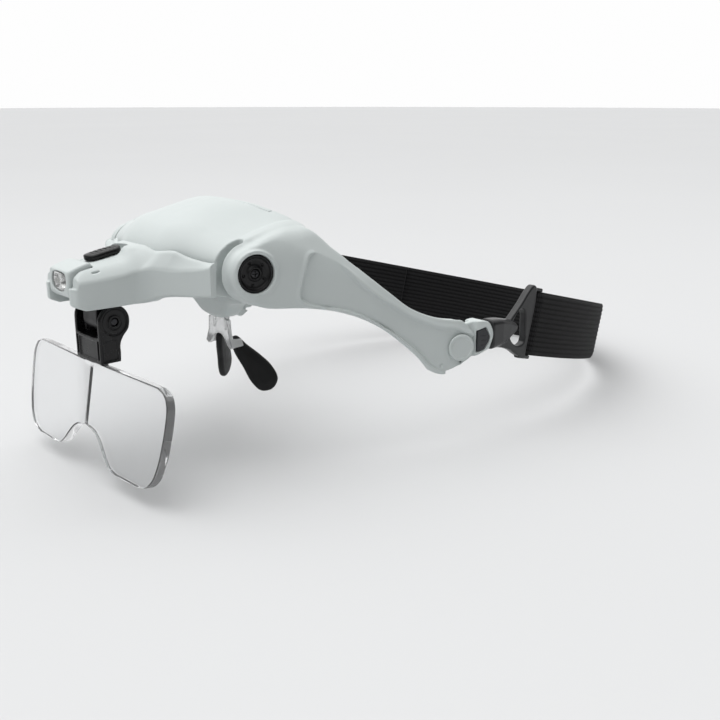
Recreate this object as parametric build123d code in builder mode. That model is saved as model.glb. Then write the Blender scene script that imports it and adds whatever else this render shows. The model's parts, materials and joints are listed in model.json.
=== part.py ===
from build123d import *
import os
from math import sqrt, sin, cos, radians

# Lighted magnifier glasses, head-worn.
# Frame: millimetres, +Z up, -Y is the way the wearer looks, +X is the wearer's left.
# Origin: middle of the brow's forehead face, where the head seats.

os.makedirs("parts", exist_ok=True)

# ---------------------------------------------------------------- driving dimensions
WALL = 2.0                      # shell wall
R_HEAD = 78.0                   # forehead radius of the brow's rear face, in plan

DOME_FRONT = -38.5              # front of the dome
DOME_TOP = 21.4                 # top of the dome
DOME_HALF = 35.6                # half width, where the wings are joined
SLIT_IN, SLIT_OUT = 33.0, 35.6  # flex slits beside the hinge pods
SLIT_END = -16.8
CROWN_FALL = 0.22               # the crown's flanks fall towards the front by this much per mm

PIVOT_Y, PIVOT_Z = -17.4, 0.8   # arm hinge axis, along X
POD_R = 8.3                     # hinge pod radius
PIN_R = 2.0                     # hinge pin radius
RUN = 0.05                      # running clearance on radius

CAP_R = 6.4                     # black cap
EAR_X0, EAR_X1 = 33.4, 35.2     # arm ear in the slit
EAR_R = 6.4

TAIL_Y, TAIL_Z = 56.3, -32.6    # strap socket swivel axis, along X
TAIL_SKIN = 1.0                 # the wing's skin over the socket's tongue
TAIL_GAP = 0.55
DISC_R = 5.0

ARM_FRONT = -66.3               # front of the lamp prongs
BLOCK_HALF = 13.3               # half width of the front block
BLOCK_FRONT_HALF = 11.3
LAMP_SLOT = 7.2                 # half width of the slot for the lamp
LAMP_SLOT_BACK = -54.2
LAMP_Y, LAMP_Z = -58.4, -1.5    # lamp tilt axis, along X
LAMP_HALF = 6.8

EAR_Y, EAR_Z = -51.8, -15.6     # lens bracket tilt axis, along X
BRK_HALF = 9.0                  # half width of the lens bracket
BRK_EAR_R = 5.2
BRK_FRONT = -57.6
BRK_BACK = -50.2
BRK_BOTTOM = -28.7

LENS_Y, LENS_Z = -57.0, -30.0   # middle of the lens's top front edge
LENS_T = 3.0
LENS_TILT = 11.0                # degrees, bottom forward
LENS_VEE = 0.036                # each half sweeps back by this much per mm

CELL_R, CELL_L = 5.25, 44.5     # AAA cell

STRAP_W = 25.0
STRAP_T = 1.5
STRAP_DROP = 14.4               # degrees, the strap falls towards the back of the head
STRAP_Y, STRAP_Z = 94.0, -29.4  # middle of the buckle's bar
STRAP_X = 68.0
STRAP_DEPTH = 112.0             # bar to the back of the head, along the strap's plane


def wing_x(y):
    # outer face of the side wing, in plan
    t = y + 17.9
    return 42.0 + 0.224 * t + 0.00153 * t * t


def wing_slope(y):
    return 0.224 + 0.00306 * (y + 17.9)


def head_y(x, r=R_HEAD):
    # forehead arc, in plan, through the origin for r = R_HEAD
    return R_HEAD - sqrt(r * r - x * x)


# ---------------------------------------------------------------- dome of the brow
PLAN_OUT = [(35.6, -27.2), (33.0, -28.0), (27.7, -30.0), (22.8, -32.0), (17.0, -35.0), (11.0, -37.7), (5.5, -38.4)]
PLAN_IN = [(31.0, -26.2), (27.0, -27.9), (22.0, -30.0), (16.2, -33.1), (10.4, -35.7), (5.2, -36.4)]
CROWN = [(36.0, 12.9), (31.0, 13.9), (25.0, 15.7), (16.0, 18.9), (8.0, 21.0)]
crown_plane = Plane(origin=(0, 14, 0), x_dir=(1, 0, 0), z_dir=(0, -1, -CROWN_FALL))
crown_k = 1 / sqrt(1 + CROWN_FALL ** 2)


def crown_pts(drop, w):
    # crown section on the falling plane, right to left, for a shell that is lower by drop
    half = [(x, crown_k * (z - drop + CROWN_FALL * 22)) for x, z in CROWN]
    half = [(min(x, w), t) for x, t in half]
    return half + [(0, crown_k * (21.6 - drop + CROWN_FALL * 22))] + [(-x, t) for x, t in reversed(half)]


with BuildPart() as dome_outer:
    for z0, h, tap in ((-24, 27.5, 0), (3.5, 20.5, 27)):
        with BuildSketch(Plane.XY.offset(z0)):
            with BuildLine():
                Spline(*PLAN_OUT, (0, DOME_FRONT), *[(-x, y) for x, y in reversed(PLAN_OUT)])
                Line((-35.6, -27.2), (-35.6, 20))
                Line((-35.6, 20), (35.6, 20))
                Line((35.6, 20), (35.6, -27.2))
            make_face()
        extrude(amount=h, taper=tap)
    with BuildSketch(Plane.XY.offset(-24)):
        with BuildLine():
            Polyline((35.6, -24.4), (35.6, 12))
            Polyline((35.6, 12), (-35.6, 12))
            Polyline((-35.6, 12), (-35.6, -24.4))
            Polyline((-35.6, -24.4), (35.6, -24.4))
        make_face()
    extrude(amount=48)
    with BuildSketch(Plane.YZ.offset(-40)):
        with BuildLine():
            Polyline((12, 17.2), (12, -11), (-10, -11), (-31, -5.5), (-40, -1.5), (-40, 6.4))
            Spline((-40, 6.4), (-36, 10.2), (-30, 14.0), (-22, 17.9), (-13, 20.7), (-5, DOME_TOP), (3, 20.6), (12, 17.2))
        make_face()
    extrude(amount=80, mode=Mode.INTERSECT)
    with BuildSketch(crown_plane):
        with BuildLine():
            cp = crown_pts(0, 36.0)
            Polyline(cp[-1], (-36.0, -40), (36.0, -40), cp[0])
            Spline(*cp)
        make_face()
    extrude(amount=80, mode=Mode.INTERSECT)
    # the rear edge dips at the temples
    with BuildSketch(Plane.XZ.offset(-14)):
        with BuildLine():
            Polyline((36, 11.6), (36, -40), (-36, -40), (-36, 11.6))
            Spline((-36, 11.6), (-31, 14.4), (-25, 17.6), (-14, 21.2), (0, 22.2), (14, 21.2), (25, 17.6), (31, 14.4), (36, 11.6))
        make_face()
    extrude(amount=60, mode=Mode.INTERSECT)
    # the rear face seats on the forehead
    with BuildSketch(Plane.XY.offset(-30)):
        with BuildLine():
            ThreePointArc((-40, head_y(40)), (0, 0), (40, head_y(40)))
            Polyline((40, head_y(40)), (40, -45), (-40, -45), (-40, head_y(40)))
        make_face()
    extrude(amount=60, mode=Mode.INTERSECT)

with BuildPart() as dome_inner:
    for z0, h, tap in ((-24, 27.0, 0), (3.0, 20.5, 27)):
        with BuildSketch(Plane.XY.offset(z0)):
            with BuildLine():
                Spline(*PLAN_IN, (0, DOME_FRONT + 2.0), *[(-x, y) for x, y in reversed(PLAN_IN)])
                Line((-31, -26.2), (-31, 20))
                Line((-31, 20), (31, 20))
                Line((31, 20), (31, -26.2))
            make_face()
        extrude(amount=h, taper=tap)
    with BuildSketch(Plane.XY.offset(-24)):
        with Locations((0, -4)):
            Rectangle(62, 40)
    extrude(amount=48)
    with BuildSketch(Plane.YZ.offset(-40)):
        with BuildLine():
            Polyline((16, 14.0), (16, -9), (-9.7, -9), (-31, -3.4), (-38, -0.4), (-38, 5.0))
            Spline((-38, 5.0), (-35, 8.2), (-29, 12.0), (-21.5, 15.8), (-13, 18.6), (-5, 19.3), (3, 18.5), (16, 14.0))
        make_face()
    extrude(amount=80, mode=Mode.INTERSECT)
    with BuildSketch(crown_plane):
        with BuildLine():
            ci = crown_pts(2.0, 34.0)
            Polyline(ci[-1], (-34.0, -40), (34.0, -40), ci[0])
            Spline(*ci)
        make_face()
    extrude(amount=80, mode=Mode.INTERSECT)
    with BuildSketch(Plane.XZ.offset(-20)):
        with BuildLine():
            Polyline((34, 10.7), (34, -40), (-34, -40), (-34, 10.7))
            Spline((-34, 10.7), (-31, 12.3), (-25, 15.4), (-14, 19.0), (0, 20.2), (14, 19.0), (25, 15.4), (31, 12.3), (34, 10.7))
        make_face()
    extrude(amount=66, mode=Mode.INTERSECT)

with BuildPart() as chin:
    # rounded tab below the dome that carries the nose bridge
    with BuildSketch(Plane.XZ.offset(13)):
        with BuildLine():
            Polyline((-13.5, -10.0), (13.5, -10.0))
            Spline((13.5, -10.0), (12.0, -15.0), (8.4, -20.6), (0, -23.0), (-8.4, -20.6), (-12.0, -15.0), (-13.5, -10.0))
        make_face()
    extrude(amount=-20)
    with BuildSketch(Plane.YZ.offset(-20)):
        with BuildLine():
            Polyline((5, -10.0), (5, -24), (-5.2, -24), (-7.6, -21.0), (-9.6, -15), (-10.2, -10.0), (5, -10.0))
        make_face()
    extrude(amount=40, mode=Mode.INTERSECT)
    with BuildSketch(Plane.XY.offset(-25)):
        with BuildLine():
            Polyline((20, -14), (-20, -14), (-20, head_y(20)))
            ThreePointArc((-20, head_y(20)), (0, 0), (20, head_y(20)))
            Line((20, head_y(20)), (20, -14))
        make_face()
    extrude(amount=16, mode=Mode.INTERSECT)

with BuildPart() as brow_shell:
    add(dome_outer.part)
    add(chin.part)
    add(dome_inner.part, mode=Mode.SUBTRACT)
    # posts for the closing plate's screws
    for x in (-28, 28):
        with BuildSketch(Plane.XZ.offset(-2.2)):
            with Locations((x, -5), (x, 8)):
                Circle(2.6)
            with Locations((x + (1.7 if x > 0 else -1.7), -5), (x + (1.7 if x > 0 else -1.7), 8)):
                Rectangle(3.4, 3.0)
        extrude(amount=9.2)
    with BuildSketch(Plane.XZ.offset(-3)):
        with Locations((-28, -5), (28, -5), (-28, 8), (28, 8)):
            Circle(1.0)
    extrude(amount=6.2, mode=Mode.SUBTRACT)
    # the two slits that the arm's ears run in, open to the front
    for s in (-1, 1):
        with BuildSketch(Plane.XY.offset(-24)):
            with Locations((s * (SLIT_IN + SLIT_OUT) / 2 + s * 0.5, (SLIT_END - 44) / 2 - 0.65)):
                Rectangle(SLIT_OUT - SLIT_IN + 1.0, SLIT_END + 44 - 1.3)
            with Locations((s * (SLIT_IN + SLIT_OUT) / 2, SLIT_END - 1.3)):
                Circle(1.3)
        extrude(amount=48, mode=Mode.SUBTRACT)
        # pocket round the ear, closed above
        with BuildSketch(Plane.XY.offset(-24)):
            with Locations((s * (SLIT_IN + SLIT_OUT) / 2, -20.4)):
                Rectangle(SLIT_OUT - SLIT_IN, 20)
        extrude(amount=32.2, mode=Mode.SUBTRACT)
    # notch in the rear top edge for the sliding battery door
    with BuildSketch(Plane.XY.offset(-6)):
        with Locations((0, 3.0)):
            Rectangle(49.2, 10)
    extrude(amount=30, mode=Mode.SUBTRACT)
    # socket for the nose bridge's tongue
    with BuildSketch(Plane.XY.offset(-25)):
        with Locations((0, -4.0)):
            Rectangle(9.0, 1.7)
    extrude(amount=8.5, mode=Mode.SUBTRACT)
    # holes for the hinge pins, through the dome's side walls
    with BuildSketch(Plane.YZ.offset(-40)):
        with Locations((PIVOT_Y, PIVOT_Z)):
            Circle(PIN_R)
    extrude(amount=80, mode=Mode.SUBTRACT)
brow_shell.part.label = "brow_shell"
export_step(brow_shell.part, "parts/brow_shell.step")

# ---------------------------------------------------------------- rear closing plate and battery door
with BuildPart() as inner_cover:
    with BuildSketch(Plane.XY.offset(-8.9)):
        with BuildLine():
            ThreePointArc((-30.9, head_y(30.9) - 0.1), (0, -0.1), (30.9, head_y(30.9) - 0.1))
            Line((30.9, head_y(30.9) - 0.1), (30.9, head_y(30.9) - 2.0))
            ThreePointArc((30.9, head_y(30.9) - 2.0), (0, -2.0), (-30.9, head_y(30.9) - 2.0))
            Line((-30.9, head_y(30.9) - 2.0), (-30.9, head_y(30.9) - 0.1))
        make_face()
    extrude(amount=20.6)
    with BuildSketch(Plane.XZ.offset(-20)):
        with Locations((0, 4.6)):
            Rectangle(49.6, 20.8)
    extrude(amount=40, mode=Mode.SUBTRACT)
    # screw holes
    with BuildSketch(Plane.XZ.offset(-20)):
        with Locations((-28, -5), (28, -5), (-28, 8), (28, 8)):
            Circle(1.05)
    extrude(amount=40, mode=Mode.SUBTRACT)
inner_cover.part.label = "inner_cover"
export_step(inner_cover.part, "parts/inner_cover.step")

with BuildPart() as battery_door:
    with BuildSketch(Plane.XY.offset(-5.4)):
        with BuildLine():
            ThreePointArc((-24.2, head_y(24.2) - 0.1), (0, -0.1), (24.2, head_y(24.2) - 0.1))
            Line((24.2, head_y(24.2) - 0.1), (24.2, head_y(24.2) - 1.8))
            ThreePointArc((24.2, head_y(24.2) - 1.8), (0, -1.8), (-24.2, head_y(24.2) - 1.8))
            Line((-24.2, head_y(24.2) - 1.8), (-24.2, head_y(24.2) - 0.1))
        make_face()
    extrude(amount=30)
    # its top edge follows the dome's crown
    with BuildSketch(Plane.XZ.offset(-14)):
        with BuildLine():
            Polyline((26, 16.4), (26, -7), (-26, -7), (-26, 16.4))
            Spline((-26, 16.4), (-20, 18.6), (-13, 20.0), (0, 20.7), (13, 20.0), (20, 18.6), (26, 16.4))
        make_face()
    extrude(amount=40, mode=Mode.INTERSECT)
    # thumb recess on the forehead face
    with BuildSketch(Plane.XZ.offset(-6)):
        with Locations((0, 13.0)):
            SlotOverall(18, 4.4)
    extrude(amount=5.5, mode=Mode.SUBTRACT)
battery_door.part.label = "battery_door"
export_step(battery_door.part, "parts/battery_door.step")

with BuildPart() as cover_screws:
    for x in (-28, 28):
        for z in (-5, 8):
            yf = head_y(abs(x)) - 0.6
            with BuildSketch(Plane(origin=(x, yf, z), x_dir=(1, 0, 0), z_dir=(0, -1, 0))):
                Circle(1.0)
            extrude(amount=7.0)
cover_screws.part.label = "cover_screws"
export_step(cover_screws.part, "parts/cover_screws.step")

# ---------------------------------------------------------------- battery
cells = [(-7.5, 8.0), (-7.5, -2.7), (-17.1, 2.7)]
with BuildPart() as aaa_cells:
    for (y, z) in cells:
        with BuildSketch(Plane.YZ.offset(-CELL_L / 2)):
            with Locations((y, z)):
                Circle(CELL_R)
        extrude(amount=CELL_L - 1.0)
        with BuildSketch(Plane.YZ.offset(CELL_L / 2 - 1.0)):
            with Locations((y, z)):
                Circle(1.9)
        extrude(amount=1.0)
aaa_cells.part.label = "aaa_cells"
export_step(aaa_cells.part, "parts/aaa_cells.step")

with BuildPart() as battery_contacts:
    # end plates, and a conical spring seat on each cell's flat end
    for s in (-1, 1):
        with BuildSketch(Plane.YZ.offset(s * (CELL_L / 2 + 2.2) - 0.2)):
            with BuildLine():
                Polyline((-12, 12.0), (-3.2, 12.6), (-3.2, -7.2), (-12, -7.0), (-22.0, -2.0), (-22.0, 7.0), (-12, 12.0))
            make_face()
        extrude(amount=0.4)
    for (y, z) in cells:
        with BuildSketch(Plane.YZ.offset(-CELL_L / 2 - 2.0)):
            with Locations((y, z)):
                Circle(3.2)
                Circle(2.4, mode=Mode.SUBTRACT)
        extrude(amount=2.0)
        with BuildSketch(Plane.YZ.offset(CELL_L / 2)):
            with Locations((y, z)):
                Circle(1.6)
        extrude(amount=2.0)
battery_contacts.part.label = "battery_contacts"
export_step(battery_contacts.part, "parts/battery_contacts.step")

# ---------------------------------------------------------------- side wings
ys = [-25.8, -17, -8, 2, 12, 22, 32, 42, 52, 61.6]
outer_pts = [(wing_x(y), y) for y in ys]
inner_pts = [(wing_x(y) - d, y) for y, d in ((61.6, 3.0), (54, 3.0), (46, 3.0), (36, 3.0), (27, 3.1))] + [(47.6, 18.2), (42.5, 12.6)]

with BuildPart() as wing_left:
    with BuildSketch(Plane.XY.offset(-45)):
        with BuildLine():
            Spline(*outer_pts)
            Line(outer_pts[-1], inner_pts[0])
            Spline(*inner_pts)
            ThreePointArc((42.5, 12.6), (39, head_y(39)), (DOME_HALF, head_y(DOME_HALF)))
            Polyline((DOME_HALF, head_y(DOME_HALF)), (DOME_HALF, ys[0]), outer_pts[0])
        make_face()
    extrude(amount=65)
    # side view of the wing, with the round hinge pod at its front
    with BuildSketch(Plane.YZ.offset(30)):
        with BuildLine():
            Polyline((PIVOT_Y, 9.1), (-14, 10.6), (-6, 12.0), (0, 12.2), (5.1, 10.0))
            Spline((5.1, 10.0), (11.8, 5.1), (17.2, 0.2), (25.1, -8.1), (32.9, -14.2), (40.8, -18.9), (48.0, -21.2), (56.8, -22.9))
            ThreePointArc((56.8, -22.9), (61.3, -32.3), (57.6, -39.7))
            Spline((57.6, -39.7), (53.0, -41.5), (49.3, -42.2), (46.0, -40.7))
            Spline((46.0, -40.7), (41.9, -35.2), (35.4, -28.8), (29.0, -23.3), (21.1, -18.6), (13.2, -15.4), (5.4, -13.4), (-2.3, -12.6), (-13.6, -11.3), (-19.2, -9.0))
            Polyline((-19.2, -9.0), (-20.6, -7.6), (-23.2, -5.0), (PIVOT_Y, 0), (PIVOT_Y, 9.1))
        make_face()
        with Locations((PIVOT_Y, PIVOT_Z)):
            Circle(POD_R)
    extrude(amount=60, mode=Mode.INTERSECT)
    # the shoulder falls from the dome to the outer face
    with BuildSketch(Plane.XZ.offset(30)):
        with BuildLine():
            Polyline((86, -45), (34, -45), (34, 12.6), (38, 12.0), (41, 10.6), (44, 8.9), (47, 7.2), (50, 5.8), (53, 4.5), (60, 0), (86, -12), (86, -45))
        make_face()
    extrude(amount=-95, mode=Mode.INTERSECT)
    # the tail is a thin skin over the socket's tongue
    with BuildSketch(Plane.XY.offset(-45)):
        with BuildLine():
            Spline(*[(wing_x(y) - TAIL_SKIN, y) for y in (45.5, 50, 56, 62.5)])
            Polyline((wing_x(62.5) - TAIL_SKIN, 62.5), (52, 62.5), (52, 45.5), (wing_x(45.5) - TAIL_SKIN, 45.5))
        make_face()
    extrude(amount=40, mode=Mode.SUBTRACT)
    # seat for the black cap
    with BuildSketch(Plane(origin=(wing_x(PIVOT_Y), PIVOT_Y, PIVOT_Z), x_dir=(0, 0, 1), z_dir=(1, -wing_slope(PIVOT_Y), 0)).offset(-3.2)):
        Circle(CAP_R + 0.1)
    extrude(amount=6, mode=Mode.SUBTRACT)
    # bore for the hinge pin
    with BuildSketch(Plane.YZ.offset(DOME_HALF - 1)):
        with Locations((PIVOT_Y, PIVOT_Z)):
            Circle(PIN_R)
    extrude(amount=6.0, mode=Mode.SUBTRACT)
    # bore for the tail pin
    with BuildSketch(Plane.YZ.offset(60)):
        with Locations((TAIL_Y, TAIL_Z)):
            Circle(1.5)
    extrude(amount=13, mode=Mode.SUBTRACT)
wing_left.part.label = "wing_left"
export_step(wing_left.part, "parts/wing_left.step")

with BuildPart() as wing_right:
    mirror(wing_left.part, about=Plane.YZ)
wing_right.part.label = "wing_right"
export_step(wing_right.part, "parts/wing_right.step")

# ---------------------------------------------------------------- hinge pins, caps and their screws
with BuildPart() as pivot_pins:
    for s in (-1, 1):
        with BuildSketch(Plane.YZ.offset(s * 31.0)):
            with Locations((PIVOT_Y, PIVOT_Z)):
                Circle(PIN_R)
        extrude(amount=s * 7.3)
pivot_pins.part.label = "pivot_pins"
export_step(pivot_pins.part, "parts/pivot_pins.step")

cap_plane = Plane(origin=(wing_x(PIVOT_Y), PIVOT_Y, PIVOT_Z), x_dir=(0, 0, 1), z_dir=(1, -wing_slope(PIVOT_Y), 0))
with BuildPart() as pivot_cap_left:
    with BuildSketch(cap_plane.offset(-3.2)):
        Circle(CAP_R)
    extrude(amount=2.9)
    # dished face with a raised centre ring
    with BuildSketch(cap_plane.offset(-1.3)):
        Circle(CAP_R - 0.7)
        Circle(2.3, mode=Mode.SUBTRACT)
    extrude(amount=2, mode=Mode.SUBTRACT)
    with BuildSketch(cap_plane.offset(-3.4)):
        Circle(1.6)
    extrude(amount=4, mode=Mode.SUBTRACT)
    with BuildSketch(cap_plane.offset(-1.7)):
        with PolarLocations(3.9, 5, start_angle=25):
            Circle(0.45)
    extrude(amount=1, mode=Mode.SUBTRACT)
pivot_cap_left.part.label = "pivot_cap_left"
export_step(pivot_cap_left.part, "parts/pivot_cap_left.step")

with BuildPart() as pivot_cap_right:
    mirror(pivot_cap_left.part, about=Plane.YZ)
pivot_cap_right.part.label = "pivot_cap_right"
export_step(pivot_cap_right.part, "parts/pivot_cap_right.step")

with BuildPart() as pivot_screw_left:
    with BuildSketch(cap_plane.offset(-3.1)):
        Circle(1.5)
    extrude(amount=2.4)
    with BuildSketch(cap_plane.offset(-1.2)):
        Rectangle(1.9, 0.4)
        Rectangle(0.4, 1.9)
    extrude(amount=1.0, mode=Mode.SUBTRACT)

with BuildPart() as pivot_screws:
    add(pivot_screw_left.part)
    mirror(pivot_screw_left.part, about=Plane.YZ)
pivot_screws.part.label = "pivot_screws"
export_step(pivot_screws.part, "parts/pivot_screws.step")

# ---------------------------------------------------------------- nose bridge and pads
with BuildPart() as nose_bridge:
    with BuildSketch(Plane.XZ.offset(3.2)):
        with BuildLine():
            Polyline((-4.4, -17.0), (4.4, -17.0), (4.4, -23.1), (6.2, -23.1), (6.6, -28.5), (8.6, -33.4), (7.0, -34.2), (4.2, -31.4))
            ThreePointArc((4.2, -31.4), (0, -29.2), (-4.2, -31.4))
            Polyline((-4.2, -31.4), (-7.0, -34.2), (-8.6, -33.4), (-6.6, -28.5), (-6.2, -23.1), (-4.4, -23.1), (-4.4, -17.0))
        make_face()
    extrude(amount=1.6)
    # feet that the pads are moulded on
    for s in (-1, 1):
        with BuildSketch(Plane.XZ.offset(-0.6)):
            with BuildLine():
                Polyline((s * 5.6, -31.0), (s * 7.6, -31.0), (s * 8.6, -33.4), (s * 7.0, -34.2), (s * 5.6, -32.8), (s * 5.6, -31.0))
            make_face()
        extrude(amount=4.4)
nose_bridge.part.label = "nose_bridge"
export_step(nose_bridge.part, "parts/nose_bridge.step")

# the pad leans back along the nose and its foot stands outward
pad_plane = Plane(origin=(9.6, 3.4, -40.5), x_dir=(0.428, 0.380, -0.8195), z_dir=(0.80, -0.58, 0.15))
with BuildPart() as nose_pad_left:
    with BuildSketch(pad_plane):
        with BuildLine():
            Spline((-12.2, -1.2), (-7.5, -3.2), (-1, -3.8), (6, -4.6), (10.8, -3.4), (12.4, 0.6), (10.4, 4.2), (5, 5.2), (-1, 4.0), (-7, 2.4), (-12.0, 1.2))
            Line((-12.0, 1.2), (-12.2, -1.2))
        make_face()
    extrude(amount=1.2, both=True)
    add(nose_bridge.part, mode=Mode.SUBTRACT)
nose_pad_left.part.label = "nose_pad_left"
export_step(nose_pad_left.part, "parts/nose_pad_left.step")

with BuildPart() as nose_pad_right:
    mirror(nose_pad_left.part, about=Plane.YZ)
nose_pad_right.part.label = "nose_pad_right"
export_step(nose_pad_right.part, "parts/nose_pad_right.step")

# ---------------------------------------------------------------- front arm
with BuildPart() as arm_block:
    with BuildSketch(Plane.XZ.offset(40.0)):
        with BuildLine():
            Polyline((-12.2, -9.8), (12.2, -9.8), (BLOCK_HALF, -8.6), (BLOCK_HALF, -0.2), (12.2, 1.7), (8.8, 4.1), (5.0, 5.2),
                     (-5.0, 5.2), (-8.8, 4.1), (-12.2, 1.7), (-BLOCK_HALF, -0.2), (-BLOCK_HALF, -8.6), (-12.2, -9.8))
        make_face()
    extrude(amount=-ARM_FRONT - 40.0)
    with BuildSketch(Plane.YZ.offset(-20)):
        with BuildLine():
            Polyline((-39, 7), (-39, -10.2), (-62, -10.2), (ARM_FRONT - 0.1, -8.2), (ARM_FRONT - 0.1, -1.4), (-64.8, 0.8), (-60, 3.0), (-54, 4.6), (-39, 7))
        make_face()
    extrude(amount=40, mode=Mode.INTERSECT)
    with BuildSketch(Plane.XY.offset(-20)):
        with BuildLine():
            Polyline((-13.3, -38), (-13.3, -45), (-BLOCK_FRONT_HALF, ARM_FRONT), (BLOCK_FRONT_HALF, ARM_FRONT), (13.3, -45), (13.3, -38), (-13.3, -38))
        make_face()
    extrude(amount=40, mode=Mode.INTERSECT)

BAR_OUT = [(38.6, -25.6), (38.1, -27.4), (35.6, -29.8), (31.0, -31.9), (25.0, -34.9), (20.0, -37.8), (15.6, -41.2), (13.3, -45.0)]
BAR_IN = [(33.4, -29.0), (27.9, -31.2), (23.0, -33.2), (17.2, -36.2), (11.2, -38.9), (5.5, -39.4)]
with BuildPart() as arm_bar:
    with BuildSketch(Plane.XY.offset(-12)):
        with BuildLine():
            Spline(*BAR_OUT)
            Polyline((13.3, -45.0), (13.3, -47.0), (-13.3, -47.0), (-13.3, -45.0))
            Spline(*[(-x, y) for x, y in reversed(BAR_OUT)])
            Polyline((-38.6, -25.6), (-38.6, PIVOT_Y), (-33.4, PIVOT_Y), (-33.4, -29.0))
            Spline(*[(-x, y) for x, y in BAR_IN], (0, -39.5), *reversed(BAR_IN))
            Polyline((33.4, -29.0), (33.4, PIVOT_Y), (38.6, PIVOT_Y), (38.6, -25.6))
        make_face()
    extrude(amount=24)
    with BuildSketch(Plane.XZ.offset(10)):
        with BuildLine():
            Polyline((-39, -6.2), (-31, -6.9), (-25, -7.2), (-20.5, -7.5), (-16.5, -8.3), (-13.3, -9.8), (13.3, -9.8), (16.5, -8.3),
                     (20.5, -7.5), (25, -7.2), (31, -6.9), (39, -6.2))
            Polyline((39, -6.2), (39, 4.2), (33.4, 4.6), (27.7, 5.2), (22.8, 6.0), (19.5, 6.8), (11, 6.8), (-11, 6.8), (-19.5, 6.8),
                     (-22.8, 6.0), (-27.7, 5.2), (-33.4, 4.6), (-39, 4.2), (-39, -6.2))
        make_face()
    extrude(amount=50, mode=Mode.INTERSECT)
    # the top slopes down towards the front
    with BuildSketch(Plane.YZ.offset(-50)):
        with BuildLine():
            Polyline((-50, 12), (-50, 2.4), (-43.4, 2.4), (-38.4, 7.0), (-36.0, 9.6), (-36.0, 12), (-50, 12))
        make_face()
    extrude(amount=100, mode=Mode.SUBTRACT)
    # concave ends that run round the hinge pods
    for s in (-1, 1):
        with BuildSketch(Plane.YZ.offset(s * 35.2)):
            with Locations((PIVOT_Y, PIVOT_Z)):
                Circle(POD_R + 0.6)
        extrude(amount=s * 14, mode=Mode.SUBTRACT)
        with BuildSketch(Plane.YZ.offset(s * 35.2)):
            with Locations((PIVOT_Y + 10, PIVOT_Z)):
                Rectangle(20, 40)
        extrude(amount=s * 14, mode=Mode.SUBTRACT)
        # ears in the slits
        with BuildSketch(Plane.YZ.offset(s * 33.3)):
            with Locations((PIVOT_Y, PIVOT_Z - 11), (PIVOT_Y, PIVOT_Z + 11)):
                Rectangle(16, 9.2)
        extrude(amount=s * 2.0, mode=Mode.SUBTRACT)
        with BuildSketch(Plane.YZ.offset(s * EAR_X0)):
            with Locations((PIVOT_Y, PIVOT_Z)):
                Circle(EAR_R)
        extrude(amount=s * (EAR_X1 - EAR_X0))

with BuildPart() as arm_shell:
    add(arm_block.part)
    add(arm_bar.part)
    # slot for the lamp between the two prongs
    with BuildSketch(Plane.XY.offset(-20)):
        with Locations((0, (ARM_FRONT - 3 + LAMP_SLOT_BACK) / 2)):
            Rectangle(2 * LAMP_SLOT, LAMP_SLOT_BACK - ARM_FRONT + 3)
    extrude(amount=40, mode=Mode.SUBTRACT)
    # hollow for the switch, open below
    with BuildSketch(Plane.XY.offset(-12)):
        with Locations((0, -47.0)):
            Rectangle(21.4, 11.0)
    extrude(amount=15.2, mode=Mode.SUBTRACT)
    # slot for the switch's stem
    with BuildSketch(Plane.XY.offset(0)):
        with Locations((0, -49.0)):
            SlotOverall(8.6, 2.6, rotation=90)
    extrude(amount=10, mode=Mode.SUBTRACT)
    # shallow seat for the slider
    with BuildSketch(Plane(origin=(0, -49.4, 5.1), x_dir=(1, 0, 0), z_dir=(0, -0.17, 0.985))):
        SlotOverall(18.0, 7.2, rotation=90)
    extrude(amount=4, mode=Mode.SUBTRACT)
    # pin holes: lamp and hinge
    with BuildSketch(Plane.YZ.offset(-11)):
        with Locations((LAMP_Y, LAMP_Z)):
            Circle(1.0)
    extrude(amount=22, mode=Mode.SUBTRACT)
    for s in (-1, 1):
        with BuildSketch(Plane.YZ.offset(s * 33.0)):
            with Locations((PIVOT_Y, PIVOT_Z)):
                Circle(PIN_R + RUN)
        extrude(amount=s * 3, mode=Mode.SUBTRACT)
arm_shell.part.label = "arm_shell"
export_step(arm_shell.part, "parts/arm_shell.step")

with BuildPart() as arm_cover:
    with BuildSketch(Plane.XY.offset(-9.8)):
        with Locations((0, -47.0)):
            Rectangle(21.0, 10.6)
    extrude(amount=1.5)
    with BuildSketch(Plane.XY.offset(-12)):
        with Locations((-8.4, -44.0), (8.4, -44.0)):
            Circle(1.05)
    extrude(amount=6, mode=Mode.SUBTRACT)
arm_cover.part.label = "arm_cover"
export_step(arm_cover.part, "parts/arm_cover.step")

with BuildPart() as arm_screws:
    with BuildSketch(Plane.XY.offset(-9.6)):
        with Locations((-8.4, -44.0), (8.4, -44.0)):
            Circle(1.0)
    extrude(amount=5.2)
arm_screws.part.label = "arm_screws"
export_step(arm_screws.part, "parts/arm_screws.step")

with BuildPart() as lens_lug:
    with BuildSketch(Plane.YZ.offset(-4.8)):
        with BuildLine():
            Polyline((-56.0, -9.8), (-47.4, -9.8), (-47.4, EAR_Z))
            ThreePointArc((-47.4, EAR_Z), (EAR_Y, EAR_Z - 4.4), (EAR_Y - 4.4, EAR_Z))
            Line((EAR_Y - 4.4, EAR_Z), (-56.0, -9.8))
        make_face()
    extrude(amount=9.6)
    with BuildSketch(Plane.YZ.offset(-6)):
        with Locations((EAR_Y, EAR_Z)):
            Circle(1.5 + RUN)
    extrude(amount=12, mode=Mode.SUBTRACT)
lens_lug.part.label = "lens_lug"
export_step(lens_lug.part, "parts/lens_lug.step")

with BuildPart() as lamp_pin:
    with BuildSketch(Plane.YZ.offset(-11)):
        with Locations((LAMP_Y, LAMP_Z)):
            Circle(1.0)
    extrude(amount=22)
lamp_pin.part.label = "lamp_pin"
export_step(lamp_pin.part, "parts/lamp_pin.step")

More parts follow.
